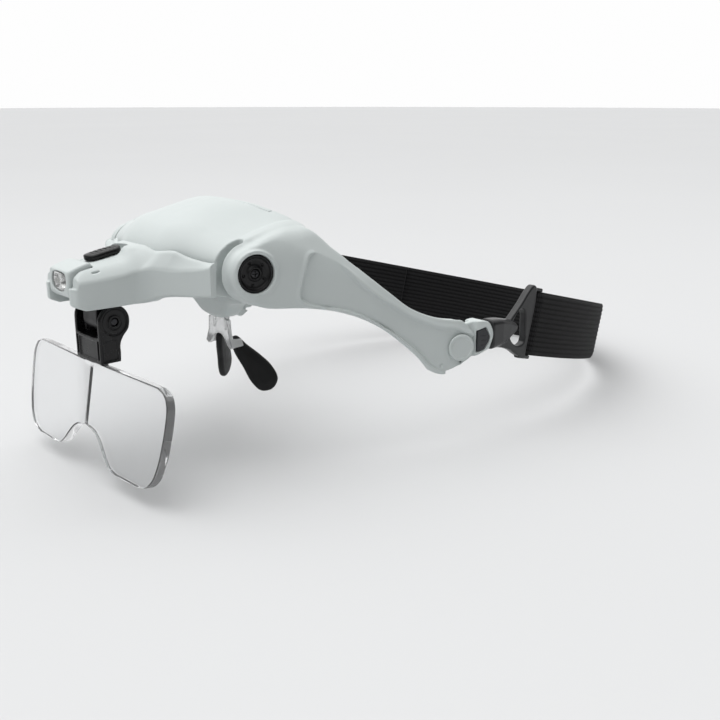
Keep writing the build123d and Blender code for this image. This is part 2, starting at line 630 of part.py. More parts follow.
# ---------------------------------------------------------------- switch
with BuildPart() as switch_board:
    with BuildSketch(Plane.XY.offset(-5.4)):
        with Locations((0, -47.0)):
            Rectangle(14.0, 10.0)
    extrude(amount=1.0)
switch_board.part.label = "switch_board"
export_step(switch_board.part, "parts/switch_board.step")

with BuildPart() as switch_body:
    with BuildSketch(Plane.XY.offset(-4.4)):
        with Locations((0, -47.6)):
            Rectangle(4.4, 8.6)
    extrude(amount=4.2)
    with BuildSketch(Plane.XY.offset(-1.6)):
        with Locations((0, -47.6)):
            Rectangle(1.8, 6.6)
    extrude(amount=3, mode=Mode.SUBTRACT)
switch_body.part.label = "switch_body"
export_step(switch_body.part, "parts/switch_body.step")

slider_plane = Plane(origin=(0, -49.6, 5.35), x_dir=(1, 0, 0), z_dir=(0, -0.17, 0.985))
with BuildPart() as switch_slider:
    with BuildSketch(slider_plane):
        SlotOverall(12.4, 6.4, rotation=90)
    extrude(amount=2.3)
    fillet(switch_slider.faces().sort_by(Axis.Z)[-1].edges(), 0.7)
    # grip ribs across the top
    with BuildSketch(slider_plane.offset(1.95)):
        with GridLocations(0, 1.5, 1, 6):
            Rectangle(5.2, 0.6)
    extrude(amount=2, mode=Mode.SUBTRACT)
    with BuildSketch(Plane.XY.offset(-0.6)):
        with Locations((0, -48.6)):
            Rectangle(1.4, 2.6)
    extrude(amount=6.6)
switch_slider.part.label = "switch_slider"
export_step(switch_slider.part, "parts/switch_slider.step")

# ---------------------------------------------------------------- lamp head
with BuildPart() as lamp_housing:
    with BuildSketch(Plane.YZ.offset(-LAMP_HALF)):
        with BuildLine():
            Polyline((-66.2, -3.4), (-65.0, -6.0), (-62.0, -6.8), (LAMP_Y, LAMP_Z - 3.9))
            ThreePointArc((LAMP_Y, LAMP_Z - 3.9), (LAMP_Y + 3.9, LAMP_Z), (LAMP_Y + 1.2, LAMP_Z + 3.71))
            Spline((LAMP_Y + 1.2, LAMP_Z + 3.71), (-60.0, 3.1), (-63.2, 3.0), (-65.6, 2.3))
            Line((-65.6, 2.3), (-66.2, -3.4))
        make_face()
    extrude(amount=2 * LAMP_HALF)
    # recess for the reflector and its window, and the room behind it
    with BuildSketch(Plane.XZ.offset(61.6)):
        with Locations((0, -1.2)):
            Rectangle(10.0, 5.6)
    extrude(amount=8, mode=Mode.SUBTRACT)
    with BuildSketch(Plane.YZ.offset(-10)):
        with Locations((LAMP_Y, LAMP_Z)):
            Circle(1.0 + RUN)
    extrude(amount=20, mode=Mode.SUBTRACT)
lamp_housing.part.label = "lamp_housing"
export_step(lamp_housing.part, "parts/lamp_housing.step")

with BuildPart() as lamp_board:
    with BuildSketch(Plane.XZ.offset(61.6)):
        with Locations((0, -1.2)):
            Rectangle(9.8, 5.4)
    extrude(amount=0.6)
lamp_board.part.label = "lamp_board"
export_step(lamp_board.part, "parts/lamp_board.step")

with BuildPart() as leds:
    for x in (-2.4, 2.4):
        with BuildSketch(Plane.XZ.offset(62.2)):
            with Locations((x, -1.2)):
                Circle(1.5)
        extrude(amount=1.4)
        with BuildSketch(Plane.XZ.offset(63.6)):
            with Locations((x, -1.2)):
                Circle(1.4)
        extrude(amount=1.2, taper=35)
leds.part.label = "leds"
export_step(leds.part, "parts/leds.step")

with BuildPart() as lamp_reflector:
    with BuildSketch(Plane.XZ.offset(62.3)):
        with Locations((0, -1.2)):
            Rectangle(9.8, 5.4)
    extrude(amount=2.6)
    for x in (-2.4, 2.4):
        with BuildSketch(Plane.XZ.offset(62.0)):
            with Locations((x, -1.2)):
                Circle(1.55)
        extrude(amount=4, mode=Mode.SUBTRACT)
        with BuildSketch(Plane.XZ.offset(65.0)):
            with Locations((x, -1.2)):
                Circle(2.3)
        extrude(amount=-2.0, taper=20, mode=Mode.SUBTRACT)
lamp_reflector.part.label = "lamp_reflector"
export_step(lamp_reflector.part, "parts/lamp_reflector.step")

with BuildPart() as lamp_window:
    with BuildSketch(Plane.XZ.offset(65.0)):
        with Locations((0, -1.2)):
            RectangleRounded(9.8, 5.4, 0.5)
    extrude(amount=0.9)
lamp_window.part.label = "lamp_window"
export_step(lamp_window.part, "parts/lamp_window.step")

# ---------------------------------------------------------------- lens bracket
with BuildPart() as lens_bracket:
    with BuildSketch(Plane.YZ.offset(-BRK_HALF)):
        with BuildLine():
            Polyline((BRK_FRONT, BRK_BOTTOM - 0.9), (BRK_FRONT, -17.2), (-57.0, EAR_Z))
            ThreePointArc((-57.0, EAR_Z), (EAR_Y, EAR_Z + BRK_EAR_R), (-46.6, EAR_Z))
            Polyline((-46.6, EAR_Z), (-48.2, -19.4), (BRK_BACK + 0.9, -22.0), (BRK_BACK, BRK_BOTTOM - 0.9), (BRK_FRONT, BRK_BOTTOM - 0.9))
        make_face()
    extrude(amount=2 * BRK_HALF)
    # open window between the ears
    with BuildSketch(Plane.XZ.offset(40)):
        with Locations((0, -14.0)):
            Rectangle(10.4, 14.4)
    extrude(amount=30, mode=Mode.SUBTRACT)
    # the ears stand a little proud of the stem below them
    for s in (-1, 1):
        with BuildSketch(Plane.YZ.offset(s * (BRK_HALF - 0.4))):
            with BuildLine():
                Polyline((-60, -32), (-44, -32), (-44, -21.6), (-49, -20.9), (-56, -20.9), (-60, -20.9), (-60, -32))
            make_face()
        extrude(amount=s * 2, mode=Mode.SUBTRACT)
        # grooves round the ear
        with BuildSketch(Plane.YZ.offset(s * (BRK_HALF - 0.35))):
            with Locations((EAR_Y, EAR_Z)):
                Circle(4.3)
                Circle(3.9, mode=Mode.SUBTRACT)
                Circle(2.7)
                Circle(2.2, mode=Mode.SUBTRACT)
        extrude(amount=s * 1, mode=Mode.SUBTRACT)
    # recessed front panel with two upright slots
    with BuildSketch(Plane.XZ.offset(-BRK_FRONT - 0.5)):
        with Locations((0, -25.2)):
            Rectangle(14.0, 7.0)
    extrude(amount=2, mode=Mode.SUBTRACT)
    with BuildSketch(Plane.XZ.offset(-BRK_FRONT - 0.9)):
        with Locations((-7.6, -25.2), (7.6, -25.2)):
            SlotOverall(6.4, 0.9, rotation=90)
    extrude(amount=2, mode=Mode.SUBTRACT)
    # slot for the lens's tab, open below
    with BuildSketch(Plane.XY.offset(-31)):
        with Locations((0, -55.1)):
            Rectangle(13.0, 2.9)
    extrude(amount=8.0, mode=Mode.SUBTRACT)
    with BuildSketch(Plane.YZ.offset(-12)):
        with Locations((EAR_Y, EAR_Z)):
            Circle(1.5)
    extrude(amount=24, mode=Mode.SUBTRACT)
lens_bracket.part.label = "lens_bracket"
export_step(lens_bracket.part, "parts/lens_bracket.step")

with BuildPart() as bracket_pin:
    with BuildSketch(Plane.YZ.offset(-8.8)):
        with Locations((EAR_Y, EAR_Z)):
            Circle(1.5)
    extrude(amount=17.6)
bracket_pin.part.label = "bracket_pin"
export_step(bracket_pin.part, "parts/bracket_pin.step")

# ---------------------------------------------------------------- lens
tl = radians(LENS_TILT)
lens_half = [(41.0, 0.0), (45.0, -1.6), (47.0, -5.0), (47.3, -10.0), (46.8, -17.0), (45.6, -24.0), (43.5, -29.4),
             (40.0, -32.8), (35.0, -34.2)]
with BuildPart() as lens_plate:
    for s in (-1, 1):
        xd = Vector(s * 1.0, LENS_VEE, 0).normalized() * s
        up = Vector(0, sin(tl), cos(tl))
        half_plane = Plane(origin=(0, LENS_Y, LENS_Z), x_dir=xd, z_dir=xd.cross(up))
        with BuildSketch(half_plane):
            with BuildLine():
                Line((0, 0), (s * 41.0, 0))
                Spline(*[(s * x, z) for x, z in lens_half])
                Line((s * 35.0, -34.2), (s * 21.0, -34.2))
                Spline((s * 21.0, -34.2), (s * 17.0, -33.2), (s * 14.0, -31.0), (s * 11.0, -27.8), (s * 8.4, -25.2), (s * 5.0, -23.2), (0, -22.2))
                Line((0, -22.2), (0, 0))
            make_face()
        extrude(amount=-LENS_T)
    # tab that goes up into the bracket
    with BuildSketch(Plane.XY.offset(-32.2)):
        with Locations((0, -55.1)):
            Rectangle(12.6, 2.5)
    extrude(amount=8.9)
lens_plate.part.label = "lens_plate"
export_step(lens_plate.part, "parts/lens_plate.step")

# ---------------------------------------------------------------- strap sockets at the wings' tails
tail_plane = Plane(origin=(wing_x(TAIL_Y), TAIL_Y, TAIL_Z), x_dir=(0, 0, 1), z_dir=(1, -wing_slope(TAIL_Y), 0))
with BuildPart() as tail_disc_left:
    with BuildSketch(tail_plane.offset(0.08)):
        Circle(DISC_R)
    extrude(amount=1.1)
    fillet(tail_disc_left.faces().sort_by(Axis.X)[-1].edges(), 0.4)
tail_disc_left.part.label = "tail_disc_left"
export_step(tail_disc_left.part, "parts/tail_disc_left.step")

with BuildPart() as tail_disc_right:
    mirror(tail_disc_left.part, about=Plane.YZ)
tail_disc_right.part.label = "tail_disc_right"
export_step(tail_disc_right.part, "parts/tail_disc_right.step")

PIN_X0, PIN_X1 = 60.9, wing_x(TAIL_Y) - 0.8
with BuildPart() as tail_pins:
    for s in (-1, 1):
        with BuildSketch(Plane.YZ.offset(s * PIN_X0)):
            with Locations((TAIL_Y, TAIL_Z)):
                Circle(1.5)
        extrude(amount=s * (PIN_X1 - PIN_X0))
        with BuildSketch(Plane.YZ.offset(s * PIN_X0)):
            with Locations((TAIL_Y, TAIL_Z)):
                Circle(2.8)
        extrude(amount=s * 1.1)
tail_pins.part.label = "tail_pins"
export_step(tail_pins.part, "parts/tail_pins.step")

low = TAIL_SKIN + TAIL_GAP      # the tongue's outer face is this far below the wing's outer face
with BuildPart() as socket_left:
    # head beyond the wing's rounded end, and the tongue under the wing's skin
    with BuildSketch(Plane.YZ.offset(60)):
        with BuildLine():
            Polyline((57.0, -23.2), (62.4, -22.0))
            Spline((62.4, -22.0), (66.4, -23.2), (68.3, -26.0), (68.9, -29.3), (67.2, -34.3))
            Polyline((67.2, -34.3), (61.2, -37.5), (57.2, -39.6), (TAIL_Y, TAIL_Z), (57.0, -23.2))
        make_face()
        with Locations((TAIL_Y, TAIL_Z)):
            Circle(7.0)
    extrude(amount=16)
    with BuildSketch(Plane.XY.offset(-45)):
        with BuildLine():
            Spline(*[(wing_x(y) - low, y) for y in (48, 52, 57, 61.6)])
            Polyline((wing_x(61.6) - low, 61.6), (wing_x(62.4) - 0.15, 62.4), (wing_x(64.6) - 0.1, 64.6), (wing_x(67) - 0.1, 67), (72.4, 69.4), (63.6, 69.4), (wing_x(61.6) - 5.4, 61.6), (wing_x(59.5) - low - 2.0, 59.5))
            Spline(*[(wing_x(y) - low - 2.0, y) for y in (59.5, 57, 52, 48)])
            Line((wing_x(48) - low - 2.0, 48), (wing_x(48) - low, 48))
        make_face()
    extrude(amount=40, mode=Mode.INTERSECT)
    with BuildSketch(Plane.YZ.offset(58)):
        with Locations((TAIL_Y, TAIL_Z)):
            Circle(1.5 + RUN)
    extrude(amount=12, mode=Mode.SUBTRACT)
    # hole for the buckle's plug
    with BuildSketch(Plane.XZ.offset(-70)):
        with Locations((66.4, -29.6)):
            Rectangle(2.8, 6.0)
    extrude(amount=6.6, mode=Mode.SUBTRACT)
    # five-sided window for the latch
    with BuildSketch(Plane.YZ.offset(67.6)):
        with BuildLine():
            Polyline((62.7, -35.0), (62.7, -27.2), (65.6, -26.1), (67.1, -29.6), (66.7, -31.5), (65.1, -34.2), (62.7, -35.0))
        make_face()
        offset(amount=0.3)
    extrude(amount=6, mode=Mode.SUBTRACT)
socket_left.part.label = "socket_left"
export_step(socket_left.part, "parts/socket_left.step")

with BuildPart() as socket_right:
    mirror(socket_left.part, about=Plane.YZ)
socket_right.part.label = "socket_right"
export_step(socket_right.part, "parts/socket_right.step")

with BuildPart() as latch_left:
    with BuildSketch(Plane.YZ.offset(68.7)):
        with BuildLine():
            Polyline((62.7, -35.0), (62.7, -27.2), (65.6, -26.1), (67.1, -29.6), (66.7, -31.5), (65.1, -34.2), (62.7, -35.0))
        make_face()
    extrude(amount=5)
    with BuildSketch(Plane.XY.offset(-45)):
        with BuildLine():
            Polyline((67, 60), (wing_x(60) - 0.1, 60), (wing_x(62.7) - 0.1, 62.7), (wing_x(64.6) - 0.25, 64.6), (wing_x(67.2) - 0.25, 67.2), (wing_x(67.2) - 0.25, 70), (67, 70), (67, 60))
        make_face()
    extrude(amount=40, mode=Mode.INTERSECT)
latch_left.part.label = "latch_left"
export_step(latch_left.part, "parts/latch_left.step")

with BuildPart() as latch_right:
    mirror(latch_left.part, about=Plane.YZ)
latch_right.part.label = "latch_right"
export_step(latch_right.part, "parts/latch_right.step")

# ---------------------------------------------------------------- buckles and strap
dr = radians(STRAP_DROP)
strap_plane = Plane(origin=(0, STRAP_Y, STRAP_Z), x_dir=(1, 0, 0), z_dir=(0, sin(dr), cos(dr)))
side_plane = Plane(origin=(STRAP_X - 1.6, STRAP_Y, STRAP_Z), x_dir=(0, cos(dr), -sin(dr)), z_dir=(1, 0, 0))
BAR_U = 3.6                     # the strap's bar, behind the buckle's upright rib

with BuildPart() as buckle_left:
    with BuildSketch(Plane.YZ.offset(STRAP_X - 1.6)):
        with BuildLine():
            Polyline((69.8, -34.2), (78.5, -36.6), (87.2, -41.2), (91.4, -43.0), (94.0, -43.0), (97.9, -16.0), (95.4, -14.6),
                     (92.6, -16.4), (82.0, -26.0), (69.8, -25.0), (69.8, -34.2))
        make_face()
        # triangular window
        with BuildLine():
            Polyline((84.6, -29.4), (91.2, -23.0), (92.6, -25.0), (91.6, -37.0), (88.6, -37.4), (84.6, -33.4), (84.6, -29.4))
        make_face(mode=Mode.SUBTRACT)
    extrude(amount=3.2)
    # bar for the strap, with its two short arms
    with BuildSketch(side_plane):
        with Locations((BAR_U / 2 + 0.5, 0)):
            Rectangle(BAR_U + 1.6, 27.4)
        with Locations((1.6, 0)):
            Rectangle(1.8, 25.6, mode=Mode.SUBTRACT)
    extrude(amount=3.2)
    # free the strap's loop round the bar
    with BuildSketch(side_plane.offset(-2)):
        with Locations((1.25, 0)):
            Rectangle(2.5, 25.6)
    extrude(amount=7, mode=Mode.SUBTRACT)
    with BuildSketch(strap_plane.offset(-12.8)):
        with Locations((STRAP_X, BAR_U + 0.2)):
            Rectangle(8, 4.0)
            Circle(1.05, mode=Mode.SUBTRACT)
    extrude(amount=25.6, mode=Mode.SUBTRACT)
    # tapered neck from the plug
    with BuildSketch(Plane.XZ.offset(-69.9)):
        with Locations((68.0, -29.6)):
            RectangleRounded(7.0, 10.4, 2.4)
    with BuildSketch(Plane.XZ.offset(-87.6)):
        with Locations((68.0, -30.4)):
            RectangleRounded(3.4, 2.6, 0.9)
    loft()
    with BuildSketch(Plane.XZ.offset(-64.0)):
        with Locations((66.4, -29.6)):
            Rectangle(2.4, 5.5)
    extrude(amount=-6.2)
buckle_left.part.label = "buckle_left"
export_step(buckle_left.part, "parts/buckle_left.step")

with BuildPart() as buckle_right:
    mirror(buckle_left.part, about=Plane.YZ)
buckle_right.part.label = "buckle_right"
export_step(buckle_right.part, "parts/buckle_right.step")

A_MID = STRAP_X + 2.1           # half width of the strap's loop, at its middle surface
B_MID = STRAP_DEPTH - BAR_U


def band_x(u):
    return A_MID * sqrt(max(0.0, 1 - ((u - BAR_U) / B_MID) ** 2))


with BuildPart() as elastic_strap:
    with BuildSketch(strap_plane.offset(-STRAP_W / 2)):
        with BuildLine():
            EllipticalCenterArc((0, BAR_U), A_MID + STRAP_T / 2, B_MID + STRAP_T / 2, start_angle=0, arc_size=180)
            Line((-A_MID - STRAP_T / 2, BAR_U), (-A_MID + STRAP_T / 2, BAR_U))
            EllipticalCenterArc((0, BAR_U), A_MID - STRAP_T / 2, B_MID - STRAP_T / 2, start_angle=0, arc_size=180)
            Line((A_MID - STRAP_T / 2, BAR_U), (A_MID + STRAP_T / 2, BAR_U))
        make_face()
    extrude(amount=STRAP_W)
    for s in (-1, 1):
        # loop round the buckle's bar
        with BuildSketch(strap_plane.offset(-STRAP_W / 2)):
            with Locations((s * STRAP_X, BAR_U)):
                Circle(2.1 + STRAP_T / 2)
                Circle(2.1 - STRAP_T / 2, mode=Mode.SUBTRACT)
            with Locations((s * STRAP_X, BAR_U + 5)):
                Rectangle(12, 10, mode=Mode.SUBTRACT)
        extrude(amount=STRAP_W)
        # the end that is folded back inside
        us = [BAR_U, 8, 14, 22, 34, 46, 60]
        ds = [4.2, 3.4, 2.2, 1.75, 1.7, 1.7, 1.7]
        with BuildSketch(strap_plane.offset(-STRAP_W / 2)):
            with BuildLine():
                Spline(*[(s * (band_x(u) - d + STRAP_T / 2), u) for u, d in zip(us, ds)])
                Line((s * (band_x(60) - 1.7 + STRAP_T / 2), 60), (s * (band_x(60) - 1.7 - STRAP_T / 2), 60))
                Spline(*[(s * (band_x(u) - d - STRAP_T / 2), u) for u, d in reversed(list(zip(us, ds)))])
                Line((s * (band_x(BAR_U) - 4.2 - STRAP_T / 2), BAR_U), (s * (band_x(BAR_U) - 4.2 + STRAP_T / 2), BAR_U))
            make_face()
        extrude(amount=STRAP_W)
elastic_strap.part.label = "elastic_strap"
export_step(elastic_strap.part, "parts/elastic_strap.step")
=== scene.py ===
import json
import math

import bpy
import bmesh
import numpy as np
from mathutils import Matrix, Vector


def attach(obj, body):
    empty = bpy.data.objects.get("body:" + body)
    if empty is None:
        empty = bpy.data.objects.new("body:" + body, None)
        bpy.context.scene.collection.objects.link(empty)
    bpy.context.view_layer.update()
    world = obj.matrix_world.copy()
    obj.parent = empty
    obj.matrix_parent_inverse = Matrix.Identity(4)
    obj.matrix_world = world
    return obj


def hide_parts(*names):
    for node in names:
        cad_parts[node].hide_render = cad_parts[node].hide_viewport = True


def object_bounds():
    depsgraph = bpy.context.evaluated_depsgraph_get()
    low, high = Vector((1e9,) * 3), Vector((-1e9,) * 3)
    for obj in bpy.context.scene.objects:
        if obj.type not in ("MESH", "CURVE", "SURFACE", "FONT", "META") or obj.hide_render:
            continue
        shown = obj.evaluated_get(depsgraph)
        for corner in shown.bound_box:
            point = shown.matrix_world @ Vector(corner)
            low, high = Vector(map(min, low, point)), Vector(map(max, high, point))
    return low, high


# Lighted magnifier glasses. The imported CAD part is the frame; the moulded shells, the lens, the
# bracket and the strap are rebuilt here as rounded meshes, worked out in millimetres.

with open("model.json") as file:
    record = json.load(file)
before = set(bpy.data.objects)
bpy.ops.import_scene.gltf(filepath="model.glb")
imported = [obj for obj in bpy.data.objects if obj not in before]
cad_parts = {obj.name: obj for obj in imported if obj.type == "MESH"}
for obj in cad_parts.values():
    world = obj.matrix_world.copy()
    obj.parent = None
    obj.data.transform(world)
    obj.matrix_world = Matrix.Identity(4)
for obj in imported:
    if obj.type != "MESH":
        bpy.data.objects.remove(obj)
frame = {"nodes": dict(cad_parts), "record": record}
size_cad = [list(v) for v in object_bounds()]
nodes = frame["nodes"]
MM = 0.001
F32 = np.float32


# ---------------------------------------------------------------- curves and distance fields
def curve(pts, n=8, closed=False):
    """Centripetal Catmull-Rom line through the points."""
    p = [np.asarray(q, float) for q in pts]
    if closed:
        p = [p[-1]] + p + [p[0], p[1]]
    else:
        p = [2 * p[0] - p[1]] + p + [2 * p[-1] - p[-2]]
    out = []
    for i in range(1, len(p) - 2):
        a, b, c, d = p[i - 1], p[i], p[i + 1], p[i + 2]
        t0 = 0.0
        t1 = t0 + max(np.linalg.norm(b - a), 1e-9) ** 0.5
        t2 = t1 + max(np.linalg.norm(c - b), 1e-9) ** 0.5
        t3 = t2 + max(np.linalg.norm(d - c), 1e-9) ** 0.5
        for k in range(n):
            t = t1 + (t2 - t1) * k / n
            a1 = (t1 - t) / (t1 - t0) * a + (t - t0) / (t1 - t0) * b
            a2 = (t2 - t) / (t2 - t1) * b + (t - t1) / (t2 - t1) * c
            a3 = (t3 - t) / (t3 - t2) * c + (t - t2) / (t3 - t2) * d
            b1 = (t2 - t) / (t2 - t0) * a1 + (t - t0) / (t2 - t0) * a2
            b2 = (t3 - t) / (t3 - t1) * a2 + (t - t1) / (t3 - t1) * a3
            out.append((t2 - t) / (t2 - t1) * b1 + (t - t1) / (t2 - t1) * b2)
    if not closed:
        out.append(p[-2])
    return [tuple(q) for q in out]


def flip(pts):
    return [(-a, b) for a, b in reversed(pts)]


def poly(P, U, V):
    """Signed distance to a closed polygon, negative inside."""
    P = np.asarray(P, float)
    U, V = np.broadcast_arrays(U, V)
    U = U.astype(F32)
    V = V.astype(F32)
    d2 = np.full(U.shape, 1e9, F32)
    inside = np.zeros(U.shape, bool)
    for i in range(len(P)):
        a, b = P[i], P[(i + 1) % len(P)]
        ex, ey = F32(b[0] - a[0]), F32(b[1] - a[1])
        L = ex * ex + ey * ey
        if L < 1e-10:
            continue
        wx, wy = U - F32(a[0]), V - F32(a[1])
        t = np.clip((wx * ex + wy * ey) / L, 0, 1)
        dx, dy = wx - ex * t, wy - ey * t
        d2 = np.minimum(d2, dx * dx + dy * dy)
        if ey != 0:
            lo, hi = min(a[1], b[1]), max(a[1], b[1])
            c = (V >= lo) & (V < hi) & (U < F32(a[0]) + (V - F32(a[1])) * (ex / ey))
            inside ^= c
    d = np.sqrt(d2)
    return np.where(inside, -d, d)


def cut(a, b, r=0.0):
    """Intersection with edges rounded to radius r."""
    if r <= 0:
        return np.maximum(a, b)
    u, v = np.maximum(a + F32(r), 0), np.maximum(b + F32(r), 0)
    return np.minimum(F32(-r), np.maximum(a, b)) + np.sqrt(u * u + v * v)


def join(a, b, r=0.0):
    """Union with a fillet of radius r."""
    if r <= 0:
        return np.minimum(a, b)
    u, v = np.maximum(F32(r) - a, 0), np.maximum(F32(r) - b, 0)
    return np.maximum(F32(r), np.minimum(a, b)) - np.sqrt(u * u + v * v)


def less(a, b, r=0.0):
    """a without b, with the new edge rounded."""
    return cut(a, -b, r)


def soft(a, b, k):
    """Smooth minimum of two heights."""
    h = np.maximum(k - np.abs(a - b), 0) / k
    return np.minimum(a, b) - h * h * k / 4


def ramp(t, w):
    return 0.5 * (t + np.sqrt(t * t + w * w))


def step(t, a, b):
    u = np.clip((t - a) / (b - a), 0, 1)
    return u * u * (3 - 2 * u)


def line_at(pts, at, extend=True):
    """Height of a line given as points with rising first coordinate."""
    p = np.asarray(sorted(pts), float)
    return np.interp(at, p[:, 0], p[:, 1])


class Field:
    """A box of sample points. With mirror, only x > 0 is worked out."""

    def __init__(self, lo, hi, h, mirror=False):
        lo = [h / 2 if mirror else lo[0], lo[1], lo[2]]
        n = [int(math.ceil((b - a) / h)) + 1 for a, b in zip(lo, hi)]
        self.h, self.lo, self.mirror = h, np.array(lo, float), mirror
        ax = [a + h * np.arange(m) for a, m in zip(lo, n)]
        self.x, self.y, self.z = ax
        self.X = ax[0][:, None, None].astype(F32)
        self.Y = ax[1][None, :, None].astype(F32)
        self.Z = ax[2][None, None, :].astype(F32)

    def xy(self, P):
        return poly(P, self.X, self.Y)

    def yz(self, P):
        return poly(P, self.Y, self.Z)

    def xz(self, P):
        return poly(P, self.X, self.Z)

    def box(self, x0, x1, y0, y1, z0, z1, r=0.0):
        q = [
            np.abs(A - F32((a + b) / 2)) - F32((b - a) / 2 - r)
            for A, a, b in ((self.X, x0, x1), (self.Y, y0, y1), (self.Z, z0, z1))
        ]
        o = np.sqrt(sum(np.maximum(v, 0) ** 2 for v in q))
        return o + np.minimum(np.maximum(np.maximum(q[0], q[1]), q[2]), 0) - F32(r)

    def rod(self, axis, c, R, a=-1e3, b=1e3, r=0.0):
        """Cylinder along an axis, centred on the two other coordinates c."""
        A = {"x": (self.Y, self.Z, self.X), "y": (self.X, self.Z, self.Y), "z": (self.X, self.Y, self.Z)}[axis]
        d = np.sqrt((A[0] - F32(c[0])) ** 2 + (A[1] - F32(c[1])) ** 2) - F32(R)
        if a < -900 and b > 900:
            return d
        return cut(d, np.abs(A[2] - F32((a + b) / 2)) - F32((b - a) / 2), r)

    def full(self, D):
        D = np.ascontiguousarray(np.broadcast_to(D, (len(self.x), len(self.y), len(self.z))), F32)
        if not self.mirror:
            return D, self.lo
        lo = self.lo.copy()
        lo[0] = -self.x[-1]
        return np.concatenate([D[::-1], D], axis=0), lo


def sample(D, lo, h, p):
    q = (p - lo) / h
    n = np.array(D.shape)
    i = np.clip(np.floor(q).astype(int), 0, n - 2)
    f = (q - i).astype(F32)
    i0, i1, i2 = i.T
    f0, f1, f2 = f.T
    out = 0
    for a in (0, 1):
        wa = f0 if a else 1 - f0
        for b in (0, 1):
            wb = f1 if b else 1 - f1
            for c in (0, 1):
                wc = f2 if c else 1 - f2
                out = out + wa * wb * wc * D[i0 + a, i1 + b, i2 + c]
    return out


def slope_at(D, lo, h, p, e=0.55):
    g = np.empty((len(p), 3), F32)
    for a in range(3):
        d = np.zeros(3)
        d[a] = e * h
        g[:, a] = (sample(D, lo, h, p + d) - sample(D, lo, h, p - d)) / (2 * e * h)
    return g


def nets(D, lo, h):
    """Closed quad mesh of the surface D = 0, one point in each cell that the surface crosses."""
    D = D.copy()
    D[0], D[-1], D[:, 0], D[:, -1], D[:, :, 0], D[:, :, -1] = (1.0,) * 6
    s = D < 0
    c = np.zeros(tuple(n - 1 for n in s.shape), np.uint8)
    N = s.shape
    for a in (0, 1):
        for b in (0, 1):
            for k in (0, 1):
                c += s[a : N[0] - 1 + a, b : N[1] - 1 + b, k : N[2] - 1 + k]
    act = (c > 0) & (c < 8)
    ijk = np.argwhere(act)
    idx = np.full(act.shape, -1, np.int32)
    idx[act] = np.arange(len(ijk))
    val = {}
    for a in (0, 1):
        for b in (0, 1):
            for k in (0, 1):
                val[(a, b, k)] = D[ijk[:, 0] + a, ijk[:, 1] + b, ijk[:, 2] + k]
    acc = np.zeros((len(ijk), 3))
    cnt = np.zeros(len(ijk))
    for p in val:
        for ax in range(3):
            if p[ax]:
                continue
            q = list(p)
            q[ax] = 1
            dp, dq = val[p], val[tuple(q)]
            m = (dp < 0) != (dq < 0)
            t = dp[m] / (dp[m] - dq[m])
            at = np.tile(np.array(p, float), (m.sum(), 1))
            at[:, ax] += t
            acc[m] += at
            cnt[m] += 1
    verts = (ijk + acc / cnt[:, None]) * h + lo
    quads = []
    for ax in range(3):
        u, v = (ax + 1) % 3, (ax + 2) % 3
        A = [slice(1, -1)] * 3
        B = [slice(1, -1)] * 3
        A[ax], B[ax] = slice(0, -1), slice(1, None)
        sa, sb = s[tuple(A)], s[tuple(B)]
        e = np.argwhere(sa != sb)
        ins = sa[e[:, 0], e[:, 1], e[:, 2]]
        base = e.copy()
        base[:, u] += 1
        base[:, v] += 1

        def cell(du, dv):
            w = base.copy()
            w[:, u] += du
            w[:, v] += dv
            return idx[w[:, 0], w[:, 1], w[:, 2]]

        q = np.stack([cell(-1, -1), cell(0, -1), cell(0, 0), cell(-1, 0)], 1)
        q[~ins] = q[~ins][:, ::-1]
        quads.append(q)
    return verts, np.concatenate(quads)


def mesh_of(name, verts, faces, normals=None):
    me = bpy.data.meshes.new(name)
    me.vertices.add(len(verts))
    me.vertices.foreach_set("co", (np.asarray(verts) * MM).astype(F32).ravel())
    k = faces.shape[1]
    me.loops.add(len(faces) * k)
    me.loops.foreach_set("vertex_index", faces.astype(np.int32).ravel())
    me.polygons.add(len(faces))
    me.polygons.foreach_set("loop_start", (np.arange(len(faces)) * k).astype(np.int32))
    me.update(calc_edges=True)
    me.validate()
    me.shade_smooth()
    if normals is not None:
        me.normals_split_custom_set_from_vertices(normals.tolist())
    return me


def place(me, body, name, material, replaces=(), materials=None):
    ob = bpy.data.objects.new(name, me)
    bpy.context.scene.collection.objects.link(ob)
    for m in materials or [material]:
        me.materials.append(m)
    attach(ob, body)
    if replaces:
        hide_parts(*replaces)
    return ob


